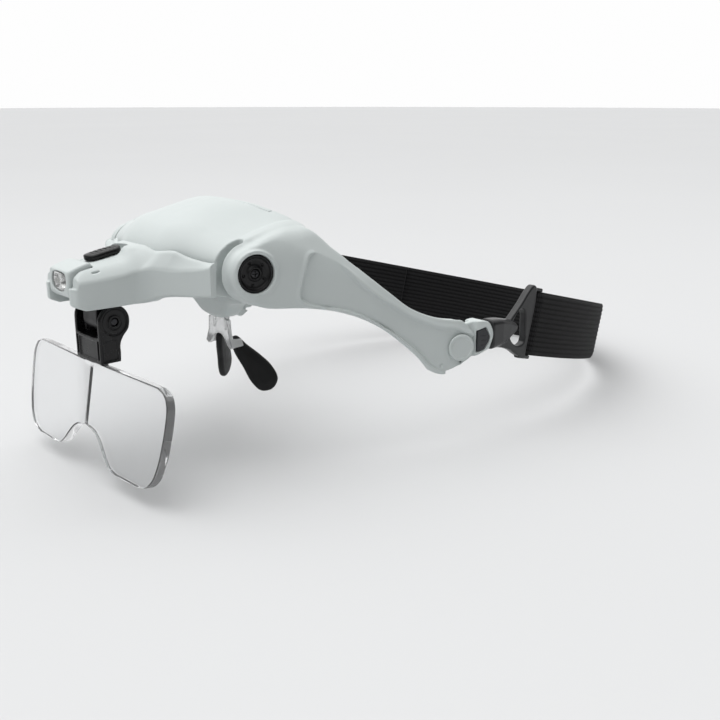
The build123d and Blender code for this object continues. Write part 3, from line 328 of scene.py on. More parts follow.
def moulded(fld, D, name, body, material, replaces=(), at=None, most=190000):
    """Meshes a field, thins it out, and puts every point back on the surface with its true normal."""
    D, lo = fld.full(D)
    verts, faces = nets(D, lo, fld.h)
    for _ in range(2):
        g = slope_at(D, lo, fld.h, verts)
        d = sample(D, lo, fld.h, verts)
        k = np.clip(d / np.maximum((g * g).sum(1), 0.25), -0.5 * fld.h, 0.5 * fld.h)
        verts = verts - g * k[:, None]
    me = mesh_of(name, verts, faces)
    if 2 * len(faces) > most:
        tmp = bpy.data.objects.new("tmp", me)
        bpy.context.scene.collection.objects.link(tmp)
        m = tmp.modifiers.new("thin", "DECIMATE")
        m.ratio = most / (2.0 * len(faces))
        dg = bpy.context.evaluated_depsgraph_get()
        new = bpy.data.meshes.new_from_object(tmp.evaluated_get(dg))
        bpy.data.objects.remove(tmp)
        bpy.data.meshes.remove(me)
        me = new
        me.name = name
    co = np.empty(len(me.vertices) * 3, F32)
    me.vertices.foreach_get("co", co)
    co = co.reshape(-1, 3) / MM
    g = slope_at(D, lo, fld.h, co, 0.8)
    g /= np.maximum(np.linalg.norm(g, axis=1, keepdims=True), 1e-6)
    if at is not None:
        rot, org = at
        me.vertices.foreach_set("co", ((co @ rot.T + org) * MM).astype(F32).ravel())
        g = g @ rot.T
        if np.linalg.det(rot) < 0:
            me.flip_normals()
    me.shade_smooth()
    me.update()
    me.normals_split_custom_set_from_vertices(g.tolist())
    return place(me, body, name, material, replaces)


# ---------------------------------------------------------------- materials
def tree(name):
    m = bpy.data.materials.new(name)
    m.use_nodes = True
    return m, m.node_tree.nodes, m.node_tree.links, m.node_tree.nodes["Principled BSDF"]


def noise(N, L, scale, detail=3.0, rough=0.5, coord=None):
    t = N.new("ShaderNodeTexNoise")
    t.inputs["Scale"].default_value = scale
    t.inputs["Detail"].default_value = detail
    t.inputs["Roughness"].default_value = rough
    L.new(coord, t.inputs["Vector"])
    return t.outputs["Fac"]


def spread(N, L, fac, lo, hi, a=0.3, b=0.7):
    r = N.new("ShaderNodeMapRange")
    r.inputs["From Min"].default_value = a
    r.inputs["From Max"].default_value = b
    r.inputs["To Min"].default_value = lo
    r.inputs["To Max"].default_value = hi
    L.new(fac, r.inputs["Value"])
    return r.outputs["Result"]


def two(N, L, fac, a, b):
    m = N.new("ShaderNodeMix")
    m.data_type = "RGBA"
    m.inputs["A"].default_value = (*a, 1)
    m.inputs["B"].default_value = (*b, 1)
    L.new(fac, m.inputs["Factor"])
    return m.outputs["Result"]


def bump(N, L, P, height, strength, distance, after=None):
    b = N.new("ShaderNodeBump")
    b.inputs["Strength"].default_value = strength
    b.inputs["Distance"].default_value = distance
    L.new(height, b.inputs["Height"])
    if after is not None:
        L.new(after, b.inputs["Normal"])
    L.new(b.outputs["Normal"], P.inputs["Normal"])
    return b.outputs["Normal"]


def plastic(name, a, b, rough, grain, depth, spec=0.5, large=70.0, sss=0.0, coat=0.0):
    """Moulded plastic: slight drift of colour, satin grain and small changes of gloss."""
    m, N, L, P = tree(name)
    co = N.new("ShaderNodeTexCoord").outputs["Object"]
    L.new(two(N, L, noise(N, L, large, 4, 0.55, co), a, b), P.inputs["Base Color"])
    fine = noise(N, L, grain, 2, 0.6, co)
    L.new(spread(N, L, noise(N, L, grain * 0.12, 3, 0.6, co), rough[0], rough[1]), P.inputs["Roughness"])
    bump(N, L, P, fine, 0.35, depth)
    P.inputs["Specular IOR Level"].default_value = spec
    P.inputs["Coat Weight"].default_value = coat
    if sss:
        P.inputs["Subsurface Weight"].default_value = sss
        P.inputs["Subsurface Radius"].default_value = (0.0011, 0.001, 0.0009)
        P.inputs["Subsurface Scale"].default_value = 1.0
    return m


white = plastic("white_body", (0.545, 0.59, 0.583), (0.575, 0.618, 0.611), (0.36, 0.46), 2600, 0.00002, 0.4)
black = plastic("black_plastic", (0.004, 0.004, 0.0045), (0.007, 0.007, 0.0075), (0.3, 0.42), 2400, 0.00002, 0.32)
gloss = plastic("black_gloss", (0.004, 0.004, 0.0045), (0.007, 0.007, 0.0075), (0.24, 0.34), 1800, 0.000015, 0.3)
buckle_m = plastic("buckle_grey", (0.011, 0.0115, 0.0125), (0.018, 0.0185, 0.020), (0.27, 0.38), 2200, 0.00002, 0.45)
latch_m = plastic("latch_grey", (0.022, 0.024, 0.027), (0.035, 0.037, 0.04), (0.4, 0.52), 2200, 0.00003)
pad_m = plastic("pad_silicone", (0.005, 0.005, 0.0055), (0.009, 0.009, 0.0095), (0.45, 0.6), 1800, 0.00003, 0.3)
board_m = plastic("circuit_board", (0.02, 0.10, 0.05), (0.03, 0.16, 0.08), (0.3, 0.45), 900, 0.00002)
wrap_m = plastic("battery_wrap", (0.06, 0.09, 0.16), (0.08, 0.11, 0.2), (0.25, 0.35), 500, 0.00001)


def metal(name, col, rough, grain, metallic=1.0):
    m, N, L, P = tree(name)
    co = N.new("ShaderNodeTexCoord").outputs["Object"]
    n = noise(N, L, grain, 4, 0.6, co)
    L.new(two(N, L, n, tuple(c * 0.86 for c in col), col), P.inputs["Base Color"])
    L.new(spread(N, L, n, rough * 0.8, rough * 1.3), P.inputs["Roughness"])
    P.inputs["Metallic"].default_value = metallic
    bump(N, L, P, n, 0.2, 0.00001)
    return m


steel = metal("steel", (0.05, 0.05, 0.053), 0.36, 1500)
contact = metal("contact_steel", (0.7, 0.69, 0.66), 0.28, 1200)
mirror_m = metal("reflector", (0.62, 0.62, 0.61), 0.16, 900)


def clear(name, tint, rough, ior, smear=0.0):
    m, N, L, P = tree(name)
    co = N.new("ShaderNodeTexCoord").outputs["Object"]
    P.inputs["Base Color"].default_value = (*tint, 1)
    P.inputs["Transmission Weight"].default_value = 1.0
    P.inputs["IOR"].default_value = ior
    L.new(spread(N, L, noise(N, L, 90, 4, 0.6, co), rough, rough + smear), P.inputs["Roughness"])
    bump(N, L, P, noise(N, L, 45, 2, 0.5, co), 0.04, 0.0001)
    return m


acrylic = clear("clear_acrylic", (0.90, 0.905, 0.91), 0.0, 1.49, 0.01)


def polished_edge(m, flat, level):
    """Faces turned away from the flat sides scatter some light, like a sawn and polished rim."""
    N, L = m.node_tree.nodes, m.node_tree.links
    P = N["Principled BSDF"]
    co = N.new("ShaderNodeTexCoord")
    d = N.new("ShaderNodeVectorMath")
    d.operation = "DOT_PRODUCT"
    d.inputs[1].default_value = flat
    L.new(co.outputs["Normal"], d.inputs[0])
    a = N.new("ShaderNodeMath")
    a.operation = "ABSOLUTE"
    L.new(d.outputs["Value"], a.inputs[0])
    L.new(spread(N, L, a.outputs["Value"], level, 1.0, 0.35, 0.9), P.inputs["Transmission Weight"])


polished_edge(acrylic, (0, -0.98, 0.19), 0.78)
bridge_m = clear("clear_bridge", (0.94, 0.945, 0.945), 0.16, 1.5, 0.12)
polished_edge(bridge_m, (0, -1, 0), 0.45)
bridge_m.node_tree.nodes["Map Range.001"].inputs["To Max"].default_value = 0.72
window_m = clear("clear_window", (0.86, 0.865, 0.86), 0.03, 1.5, 0.05)
led_m = clear("led_resin", (0.99, 0.96, 0.85), 0.05, 1.5, 0.05)


def webbing(name):
    m, N, L, P = tree(name)
    uv = N.new("ShaderNodeUVMap")
    uv.uv_map = "UVMap"
    co = uv.outputs["UV"]
    # u runs along the strap and v across it, both in millimetres
    w = N.new("ShaderNodeTexWave")
    w.wave_type = "BANDS"
    w.bands_direction = "X"
    w.inputs["Scale"].default_value = 0.42
    w.inputs["Distortion"].default_value = 0.6
    w.inputs["Detail"].default_value = 1.0
    w.inputs["Detail Scale"].default_value = 2.0
    L.new(co, w.inputs["Vector"])
    # thirteen raised ribs along the strap, with painted shade darkening the valleys and a painted highlight
    # brightening the rib tops
    rib_light_wave = N.new("ShaderNodeTexWave")
    rib_light_wave.wave_type = "BANDS"
    rib_light_wave.bands_direction = "Y"
    rib_light_wave.inputs["Scale"].default_value = 0.1634
    rib_light_wave.inputs["Distortion"].default_value = 0.15
    L.new(co, rib_light_wave.inputs["Vector"])
    obj = N.new("ShaderNodeTexCoord").outputs["Object"]
    fuzz = noise(N, L, 2600, 3, 0.7, obj)
    drift = noise(N, L, 60, 3, 0.5, obj)
    c1 = two(N, L, w.outputs["Fac"], (0.004, 0.004, 0.0045), (0.013, 0.013, 0.014))
    mix = N.new("ShaderNodeMix")
    mix.data_type = "RGBA"
    mix.blend_type = "MULTIPLY"
    mix.inputs["Factor"].default_value = 0.6
    L.new(c1, mix.inputs["A"])
    L.new(two(N, L, drift, (0.7, 0.7, 0.7), (1.0, 1.0, 1.0)), mix.inputs["B"])
    # painted shade and painted highlight of the ribs, multiplied into the strap's colour
    rib_shade_mix = N.new("ShaderNodeMix")
    rib_shade_mix.data_type = "RGBA"
    rib_shade_mix.blend_type = "MULTIPLY"
    rib_shade_mix.inputs["Factor"].default_value = 1.0
    L.new(mix.outputs["Result"], rib_shade_mix.inputs["A"])
    L.new(two(N, L, spread(N, L, rib_light_wave.outputs["Fac"], 0.0, 1.0, 0.02, 0.6), (0.12, 0.12, 0.12), (1.35, 1.35, 1.35)), rib_shade_mix.inputs["B"])
    L.new(rib_shade_mix.outputs["Result"], P.inputs["Base Color"])
    L.new(spread(N, L, fuzz, 0.72, 0.95), P.inputs["Roughness"])
    n1 = bump(N, L, P, w.outputs["Fac"], 0.8, 0.00012)
    bump(N, L, P, fuzz, 0.5, 0.00006, n1)
    P.inputs["Sheen Weight"].default_value = 0.04
    P.inputs["Specular IOR Level"].default_value = 0.25
    P.inputs["Sheen Roughness"].default_value = 0.5
    return m


elastic = webbing("elastic")

looks = {
    "white_body": white, "black_plastic": black, "steel": steel, "contact_steel": contact,
    "battery_wrap": wrap_m, "clear_bridge": bridge_m, "pad_silicone": pad_m, "circuit_board": board_m,
    "led_resin": led_m, "reflector": mirror_m, "clear_window": window_m, "clear_acrylic": acrylic,
    "latch_grey": latch_m, "buckle_grey": buckle_m, "elastic": elastic,
}
for entry in frame["record"].get("materials", []):
    for n in entry.get("nodes", []):
        if n in nodes:
            me = nodes[n].data
            me.materials.clear()
            me.materials.append(looks[entry["slot"]])


# ---------------------------------------------------------------- shared shape of the wing
PY, PZ = -17.4, 0.8


def wing_x(y):
    t = y + 17.9
    return 42.0 + 0.224 * t + 0.00153 * t * t


def wing_slope(y):
    return 0.224 + 0.00306 * (y + 17.9)


def head_y(x):
    return 78.0 - math.sqrt(78.0 ** 2 - x * x)


def arc(cx, cy, r, a0, a1, n=24):
    return [(cx + r * math.cos(math.radians(a0 + (a1 - a0) * i / n)), cy + r * math.sin(math.radians(a0 + (a1 - a0) * i / n))) for i in range(n + 1)]


def arc3(a, b, c, n=20):
    """Arc through three points."""
    ax, ay = a
    bx, by = b
    cx, cy = c
    d = 2 * (ax * (by - cy) + bx * (cy - ay) + cx * (ay - by))
    ux = ((ax * ax + ay * ay) * (by - cy) + (bx * bx + by * by) * (cy - ay) + (cx * cx + cy * cy) * (ay - by)) / d
    uy = ((ax * ax + ay * ay) * (cx - bx) + (bx * bx + by * by) * (ax - cx) + (cx * cx + cy * cy) * (bx - ax)) / d
    t = [math.atan2(p[1] - uy, p[0] - ux) for p in (a, b, c)]
    while t[1] - t[0] > math.pi:
        t[1] -= 2 * math.pi
    while t[1] - t[0] < -math.pi:
        t[1] += 2 * math.pi
    while t[2] - t[1] > math.pi:
        t[2] -= 2 * math.pi
    while t[2] - t[1] < -math.pi:
        t[2] += 2 * math.pi
    r = math.hypot(a[0] - ux, a[1] - uy)
    return [(ux + r * math.cos(t[0] + (t[2] - t[0]) * i / n), uy + r * math.sin(t[0] + (t[2] - t[0]) * i / n)) for i in range(n + 1)]


PLAN_OUT = [(35.6, -27.2), (33.0, -28.0), (27.7, -30.0), (22.8, -32.0), (17.0, -35.0), (11.0, -37.7), (5.5, -38.4)]
CROWN = [(0, 21.6), (8.0, 21.0), (16.0, 18.9), (25.0, 15.7), (31.0, 13.9), (36.0, 12.9)]
TOP_LINE = [(-44, 2.0), (-40, 6.4), (-36, 10.2), (-30, 14.0), (-22, 17.9), (-13, 20.7), (-5, 21.4), (3, 20.6), (12, 17.2)]
REAR_DIP = [(0, 22.2), (14, 21.3), (20, 20.4), (25, 18.8), (29, 17.1), (33, 14.9), (36, 12.9)]
SHOULDER = [(30, 15.6), (34, 14.9), (38, 13.9), (41, 12.7), (44, 11.2), (47, 9.4), (50, 7.5), (53, 5.5), (60, 0.6), (86, -12)]
WING_SIDE = (
    [(PY, 9.1), (-14, 10.9), (-6, 13.6)]
    + curve([(0, 15.8), (4, 15.2), (7, 13.8), (9.2, 11.5), (11.0, 9.4), (12.8, 7.2), (15.5, 4.6), (19.5, 1.2), (25.1, -4.4), (31.5, -10.4), (39.0, -16.8), (48.0, -20.9), (56.8, -22.5)])
    + arc3((56.8, -22.5), (61.3, -32.3), (57.6, -39.7))[1:-1]
    + curve([(57.6, -39.7), (53.0, -41.5), (49.3, -42.2), (46.0, -40.7)])[:-1]
    + curve([(46.0, -40.7), (41.9, -35.2), (35.4, -28.8), (29.0, -23.3), (21.1, -18.6), (13.2, -15.4), (5.4, -13.4), (-2.3, -12.6), (-13.6, -11.3), (-19.2, -9.0)])
    + [(-20.6, -7.6), (-23.2, -5.0), (PY, 0)]
)
# inner border of the sunk panel on the wing's side
PANEL = (
    curve([(1.4, 3.3), (2.1, 4.5), (4.1, 5.3), (7.3, 5.4), (9.7, 4.7), (12.0, 3.2), (15.2, -0.2), (20.0, -5.3), (25.6, -10.5), (32.1, -15.1), (38.3, -19.4), (44.4, -22.4), (48.6, -24.3), (54.3, -25.2), (57.6, -27.0)], 5)
    + [(66, -31), (66, -50)]
    + curve([(48.6, -41.0), (46.9, -40.0), (43.9, -37.1), (39.7, -32.4), (34.7, -27.7), (29.8, -23.9), (24.1, -20.0), (18.4, -17.0), (11.9, -14.4), (7.1, -13.1), (3.1, -11.9), (-0.0, -10.4), (-1.6, -8.7), (-1.6, -6.7), (-0.9, -3.8), (0.1, -0.0), (1.4, 3.3)], 5)
)
CREASE = [(-60, 8.2), (-26, 8.2), (-14.8, 7.9), (-5.9, 7.0), (1.4, 4.4), (8.0, 0.4), (14.0, -2.6), (20.0, -6.0), (25.6, -9.3), (32.1, -13.7), (38.3, -17.9), (44.4, -20.2), (50, -20.6), (56, -20.6), (86, -20.6)]


def build_shell():
    h = 0.38
    f = Field((0, -41, -44.5), (73.5, 64, 24.0), h, mirror=True)
    X, Y, Z = f.X, f.Y, f.Z
    # ---- dome
    half = curve([(64, -14), (48, -22.4)] + PLAN_OUT + [(0, -38.5)], 6)
    front = half + flip(half)[1:] + [(-64, 40), (64, 40)]
    d_front = f.xy(front)
    tn = math.tan(math.radians(27))
    w = 5.0
    t = Z - 5.2
    tz = tn * ramp(t, w) - tn * 0.55
    dr = 0.5 * (1 + t / np.sqrt(t * t + w * w))
    d_wall = (d_front + np.maximum(tz, 0)) / np.sqrt(1 + (tn * dr) ** 2)
    c = np.interp(f.x, *np.array(curve(CROWN + [(44, 11.6), (60, 9.4)], 6)).T)[:, None]
    r = np.interp(f.x, *np.array(curve(REAR_DIP + [(40, 10.6), (46, 7.0), (60, -2)], 6)).T)[:, None]
    p = np.interp(f.y, *np.array(curve(TOP_LINE + [(20, 13)], 6)).T)[None, :]
    zt = soft(soft(c + 0.22 * (f.y[None, :] + 8), p, 2.6), r, 1.6)
    gx, gy = np.gradient(zt, h, h)
    k = 1 / np.sqrt(1 + gx * gx + gy * gy)
    d_top = (Z - zt[:, :, None].astype(F32)) * k[:, :, None].astype(F32)
    d_rear = 78.0 - np.sqrt(X * X + (Y - 78.0) ** 2)
    bot = line_at([(-60, 2.0), (-40, -1.5), (-31, -5.5), (-10, -11), (12, -11), (80, -11)], f.y)
    gb = np.gradient(bot, h)
    d_bot = ((bot[None, :, None] - Z) / np.sqrt(1 + gb * gb)[None, :, None]).astype(F32)
    dome = cut(cut(d_wall, d_top, 4.5), d_bot, 1.0)
    hollow = np.maximum(np.maximum(cut(d_wall, d_top, 2.5), d_bot) + 2.0, X - 31.0)
    hollow = np.maximum(hollow, np.minimum(X - 24.3, Z - 11.75))
    dome = cut(dome, X - 35.6, 0.6)
    # ---- chin
    chin_xz = [(-13.5, -10.0), (13.5, -10.0)] + curve([(13.5, -10.0), (12.0, -15.0), (8.4, -20.6), (0, -23.0), (-8.4, -20.6), (-12.0, -15.0), (-13.5, -10.0)])[1:-1]
    skirt = curve([(27, -10.5), (25, -12.4), (22, -13.9), (18.2, -14.6), (13.5, -15.6), (10.4, -17.6), (7.6, -20.8), (3.6, -22.8), (0, -23.1)], 6)
    chin_xz = [(27, -4)] + skirt + flip(skirt)[1:] + [(-27, -4)]
    chin = cut(f.xz(chin_xz), f.yz([(5, -4.0), (5, -24), (-5.2, -24), (-7.6, -21.0), (-9.6, -15), (-10.2, -10.0), (-10.2, -4)]), 1.6)
    body = cut(join(dome, chin, 2.0), d_rear, 0.5)
    # ---- wing
    sl = wing_slope(f.y)
    wx = wing_x(f.y)
    kf = (1 / np.sqrt(1 + sl * sl))[None, :, None].astype(F32)
    d_out = (X - wx[None, :, None].astype(F32)) * kf
    m = 0.62
    zc = line_at(CREASE, f.y)[None, :, None].astype(F32)
    d_cr = (X - wx[None, :, None].astype(F32) + m * (Z - zc)) / np.sqrt(1 + (sl * sl)[None, :, None] + m * m)
    outer = cut(d_out, d_cr.astype(F32), 2.2)
    inside = [(33, -50), (33, head_y(33)), (DOME_X, head_y(DOME_X))]
    inside += arc3((DOME_X, head_y(DOME_X)), (39, head_y(39)), (42.5, 12.6), 8)[1:]
    inside += curve([(47.6, 18.2)] + [(wing_x(y) - d, y) for y, d in ((27, 3.1), (36, 3.0), (46, 3.0), (54, 3.0), (61.6, 3.0), (70, 3.0))], 6)
    inside += [(140, 70), (140, -50)]
    d_in = f.xy(inside)
    side = f.yz(WING_SIDE)
    pod = f.rod("x", (PY, PZ), 8.3)
    side = join(side, pod, 2.0)
    s_pts = curve(SHOULDER, 5)
    sh = np.interp(f.x, *np.array(s_pts).T)
    gs = np.gradient(sh, h)
    d_sh = ((Z - sh[:, None, None]) / np.sqrt(1 + gs * gs)[:, None, None]).astype(F32)
    edge = cut(side, d_sh, 1.5)
    thin = step(Y, 4.0, 24.0).astype(F32)
    wing = cut(outer, edge, 1.3) * (1 - thin) + cut(outer, edge, 0.5) * thin
    wing = cut(wing, d_in, 0.5)
    # sunk panel inside a raised rim
    pan = f.yz(PANEL) + line_at([(-60, 0.0), (8, 0.0), (18, 0.55), (80, 0.55)], f.y)[None, :, None].astype(F32)
    fl = np.clip(0.5 - pan / 0.6, 0, 1)
    fl = fl * fl * (3 - 2 * fl)
    near = np.clip((d_out + 2.4) / 1.0, 0, 1)
    depth = line_at([(-60, 1.05), (38, 1.05), (50, 0.45), (80, 0.45)], f.y)[None, :, None].astype(F32)
    bead = 0.42 * np.exp(-(((pan - 0.95) / 0.7) ** 2))
    wing = wing + (depth * fl - bead) * near
    for y, z in ((49.7, -39.2), (56.7, -38.2)):
        wing = less(wing, np.sqrt((Y - y) ** 2 + (Z - z) ** 2 + (X - wing_x(y) + 0.2) ** 2) - 0.75, 0.15)
    # tail skin over the socket's tongue
    tongue = np.sqrt((Y - 56.3) ** 2 + (Z + 32.6) ** 2) - 8.1
    tail = np.maximum(d_out + 1.1, np.minimum(tongue, 54.6 - Y))
    # ---- together
    body = join(body, wing, 2.4)
    body = less(body, tail, 0.0)
    body = np.maximum(body, -hollow)
    # slits beside the hinge pods and the ears' pockets
    slit = f.xy([(33.0, -60), (35.6, -60), (35.6, -18.1)] + arc(34.3, -18.1, 1.3, 0, 180, 12)[1:])
    body = less(body, slit, 0.35)
    body = less(body, f.box(33.0, 35.6, -30.4, -10.4, -40, 8.2, 0.3), 0.3)
    # battery door's notch
    body = less(body, np.maximum(np.maximum(X - 24.5, -6 - Z), -2.05 - d_rear), 0.25)
    # collar and seat of the cap
    s0 = wing_slope(PY)
    nn = np.array([1, -s0, 0]) / math.hypot(1, s0)
    ox = wing_x(PY)
    al = (X - ox) * nn[0] + (Y - PY) * nn[1]
    tr = (X - ox) * -nn[1] + (Y - PY) * nn[0]
    ra = np.sqrt(tr * tr + (Z - PZ) ** 2)
    collar = cut(np.maximum(ra - 7.9, -(ra - 5.0)), np.maximum(al - 0.55, -al - 3.0), 0.5)
    body = join(body, collar, 0.9)
    body = less(body, np.maximum(ra - 6.55, -3.2 - al), 0.35)
    # bores
    body = np.maximum(body, -f.rod("x", (PY, PZ), 2.0, 30, 39.5))
    # posts of the closing plate's screws
    for z in (-5, 8):
        body = np.minimum(body, np.maximum(f.rod("y", (28, z), 2.6, 2.2 + 0.6, 11.4), d_rear + 3))
    body = np.maximum(body, -f.box(-4.5, 4.5, -4.85, -3.15, -30, -16.5))
    return moulded(f, body, "shell", "head_frame", white, ["brow_shell", "wing_left", "wing_right"])


DOME_X = 35.6
shell = build_shell()


# ---------------------------------------------------------------- front arm
BAR_OUT = [(60, -8.0), (48, -19.5), (38.6, -26.6), (35.6, -29.8), (31.0, -31.9), (25.0, -34.9), (20.0, -37.8), (15.6, -41.2), (13.3, -45.0)]


def build_arm():
    h = 0.3
    f = Field((0, -67, -10.6), (39.6, -9.8, 9.6), h, mirror=True)
    X, Y, Z = f.X, f.Y, f.Z
    out = curve(BAR_OUT + [(12.85, -52), (12.4, -58), (11.8, -62.4), (10.7, -65.2), (8.6, -66.35)], 6) + [(6, -66.4)]
    plan = f.xy(out + flip(out) + [(-60, 30), (60, 30)])
    w = np.maximum(-plan, 0)
    yb = line_at([(-66, -0.8), (-57, -0.3), (-49, 0.4), (-45, 1.2), (-30, 1.4)], f.y)[None, :, None]
    xb = line_at(curve([(13.3, 1.4), (15.5, 2.0), (17.6, 1.8), (21, 1.5), (25.5, 1.8), (30.2, 2.4), (34, 3.4), (36.2, 5.0), (38.4, 7.0)], 5), f.x)[:, None, None]
    m = step(f.y[None, :, None] - (-46.0) + 0 * f.x[:, None, None], -1.5, 3.0)
    zc = yb * (1 - m) + xb * m
    sb = line_at([(0, 0.7), (8, 0.95), (12.6, 1.2), (15.5, 1.45), (20, 1.95), (23.5, 1.55), (28, 1.3), (33.5, 0.85), (38, 0.5)], f.x)[:, None, None]
    bulged = soft(1.1 * w, 1.9 + 0.36 * w, 1.6)
    roof = zc + bulged * (1 - m) + sb * w * m
    capy = line_at(curve([(-66.3, -2.3), (-64.95, -2.3), (-64.85, -1.2), (-64.4, 0.8), (-62.1, 2.8), (-57.9, 4.0), (-51.7, 5.1), (-45, 6.2), (-41, 7.2), (-38, 8.0), (-35, 8.5), (-28, 8.6)], 3), f.y)[None, :, None]
    capx = line_at(curve([(0, 8.5), (8, 8.3), (12.3, 7.3), (15.3, 7.3), (19.0, 7.5), (23.3, 6.1), (28.1, 5.2), (33.4, 4.9), (36, 6.0), (39, 8.2)], 5), f.x)[:, None, None]
    cap = np.minimum(capy * (1 - m) + np.minimum(capx, capy + 3 * m) * m, 9)
    top = soft(roof, cap, 1.1)
    gx, gy = np.gradient(top[:, :, 0], h, h)
    k = (1 / np.sqrt(1 + gx * gx + gy * gy))[:, :, None]
    k = np.clip(k, 0.3, 1)
    d_top = ((Z - top) * k).astype(F32)
    low = line_at(curve([(39, -6.2), (31, -6.9), (25, -7.2), (20.5, -7.5), (16.5, -8.3), (13.3, -9.8), (0, -9.8)][::-1], 4), f.x)[:, None, None]
    d_low = (low - Z).astype(F32)
    front_low = f.yz([(-80, -8.2), (-66.4, -8.2), (-62, -10.2), (-20, -10.2), (-20, 30), (-80, 30)])
    body = cut(plan, d_top, 0.55)
    body = cut(body, np.maximum(d_low, front_low), 0.9)
    # rear boundary: block back to the dome's wall, bar following the wall at a small gap
    half = curve([(64, -14), (48, -22.4)] + PLAN_OUT + [(0, -38.5)], 6)
    d_front = f.xy(half + flip(half)[1:] + [(-64, 40), (64, 40)])
    tn = math.tan(math.radians(27))
    t = Z - 5.2
    tz = tn * ramp(t, 5.0) - tn * 0.55
    wall = (d_front + np.maximum(tz, 0)) / np.sqrt(1 + (tn * 0.5 * (1 + t / np.sqrt(t * t + 25))) ** 2)
    inner = np.where(X < 35.2, wall - 0.95, -1e3)
    body = less(body, inner, 0.4)
    bar_in = f.xy([(33.4, -29.0), (33.4, PY), (33.4, 40), (80, 40), (80, -60), (33.4, -60)])
    body = np.where(Y > -28.4, np.maximum(body, bar_in), body)
    away = np.maximum(np.minimum(f.rod("x", (PY, PZ), 8.9), PY - Y), 35.2 - X)
    body = less(body, away, 0.35)
    body = np.maximum(body, Y - PY - 6.4)
    ear = f.rod("x", (PY, PZ), 6.4, 33.4, 35.2, 0.3)
    gap = np.minimum(f.box(32.6, 35.5, PY - 8, PY + 8, PZ + 6.4, 30), f.box(32.6, 35.5, PY - 8, PY + 8, -30, PZ - 6.4))
    body = np.maximum(body, -gap)
    rear = np.maximum(PY - Y, 32 - X)
    body = np.maximum(body, -np.maximum(rear, -ear))
    body = np.minimum(body, ear)
    body = np.maximum(body, X - 38.55)
    # slot between the prongs, hollow for the switch, and its slot and seat
    lampslot = np.minimum(f.box(-7.2, 7.2, -80, -54.2, -40, 2.6, 0.8), f.box(-7.2, 7.2, -80, -57.0, -40, 40, 0.8))
    body = less(body, lampslot, 0.4)
    body = np.maximum(body, -f.box(-10.3, 10.3, -52.5, -41.5, -20, -0.9))
    body = np.maximum(body, -f.box(-6.2, 6.2, -52.5, -43.0, -20, 3.0))
    body = np.maximum(body, -f.box(-1.3, 1.3, -53.3, -44.7, 0, 12))
    n = np.array([0, -0.17, 0.985])
    al = (Y + 49.4) * n[1] + (Z - 5.1) * n[2]
    tg = (Y + 49.4) * n[2] - (Z - 5.1) * n[1]
    seat = np.sqrt(np.maximum(np.abs(tg) - 5.4, 0) ** 2 + X * X) - 3.7
    body = less(body, np.maximum(seat, -al), 0.3)
    # small drain slot on each prong, groove near the arm's ends
    body = less(body, np.maximum(f.box(9.4, 10.0, -59.0, -56.2, 0, 6, 0.25), -(Z - 0.9)), 0.1)
    groove = np.maximum(np.abs(X - 36.7) - 0.3, np.maximum(-(plan + 0.6), np.abs(Z + 1.2) - 4.0))
    body = less(body, groove, 0.12)
    body = np.maximum(body, -f.rod("x", (-58.4, -1.5), 1.05, -10.9, 10.9))
    body = np.maximum(body, -np.maximum(f.rod("x", (PY, PZ), 2.05), 33 - X))
    body = np.maximum(body, -9.8 - Z)
    return moulded(f, body, "arm", "visor_arm", white, ["arm_shell"])


arm = build_arm()


# ---------------------------------------------------------------- smaller mouldings
FLIP = np.diag([-1.0, 1.0, 1.0])
WORLD = (np.eye(3), np.zeros(3))


def axes(org, xd, zd):
    z = np.array(zd, float)
    z /= np.linalg.norm(z)
    x = np.array(xd, float)
    x -= z * (x @ z)
    x /= np.linalg.norm(x)
    return np.stack([x, np.cross(z, x), z], 1), np.array(org, float)


def other(at):
    return FLIP @ at[0], FLIP @ at[1]


def wing_frame(y, z):
    return axes((wing_x(y), y, z), (0, 0, 1), (1, -wing_slope(y), 0))


def both(fld, D, name, body, material, nodes2, at=WORLD, bodies=None):
    out = []
    for side, place_at, i in (("left", at, 0), ("right", other(at), 1)):
        b = bodies[i] if bodies else body
        out.append(moulded(fld, D, f"{name}_{side}", b, material, [nodes2[i]], place_at))
    return out


def turned(f, profile):
    """Distance to a turned piece about the field's Z axis; profile is (radius, height)."""
    r = np.sqrt(f.X * f.X + f.Y * f.Y)
    return poly(profile, r, f.Z), r


def cap_piece():
    f = Field((-6.7, -6.7, -3.4), (6.7, 6.7, 0.1), 0.14)
    prof = [(1.62, -3.2), (6.25, -3.2), (6.4, -3.05), (6.4, -0.85), (6.32, -0.55), (6.1, -0.36), (5.85, -0.3), (5.62, -0.36), (5.45, -0.6), (5.25, -0.98), (4.9, -1.24),
            (4.4, -1.34), (3.2, -1.3), (2.75, -1.16), (2.45, -0.86), (2.25, -0.62), (2.0, -0.55), (1.72, -0.64), (1.62, -0.9)]
    D, r = turned(f, prof)
    for i in range(5):
        a = math.radians(25 + 72 * i)
        d = np.sqrt((f.X - 3.9 * math.cos(a)) ** 2 + (f.Y - 3.9 * math.sin(a)) ** 2 + (f.Z + 1.25) ** 2) - 0.52
        D = less(D, d, 0.1)
    return f, D


def screw_piece(R, z0, z1, slot_w=0.42, slot_l=1.9):
    f = Field((-R - 0.2, -R - 0.2, z0 - 0.2), (R + 0.2, R + 0.2, z1 + 0.2), 0.08)
    D, r = turned(f, [(0, z0), (R - 0.1, z0), (R, z0 + 0.1), (R, z1 - 0.34), (R - 0.08, z1 - 0.2), (R - 0.3, z1 - 0.08), (R * 0.5, z1 - 0.01), (0, z1)])
    cross = np.minimum(f.box(-slot_l / 2, slot_l / 2, -slot_w / 2, slot_w / 2, z1 - 0.6, 9, 0.05), f.box(-slot_w / 2, slot_w / 2, -slot_l / 2, slot_l / 2, z1 - 0.6, 9, 0.05))
    return f, less(D, cross, 0.07)


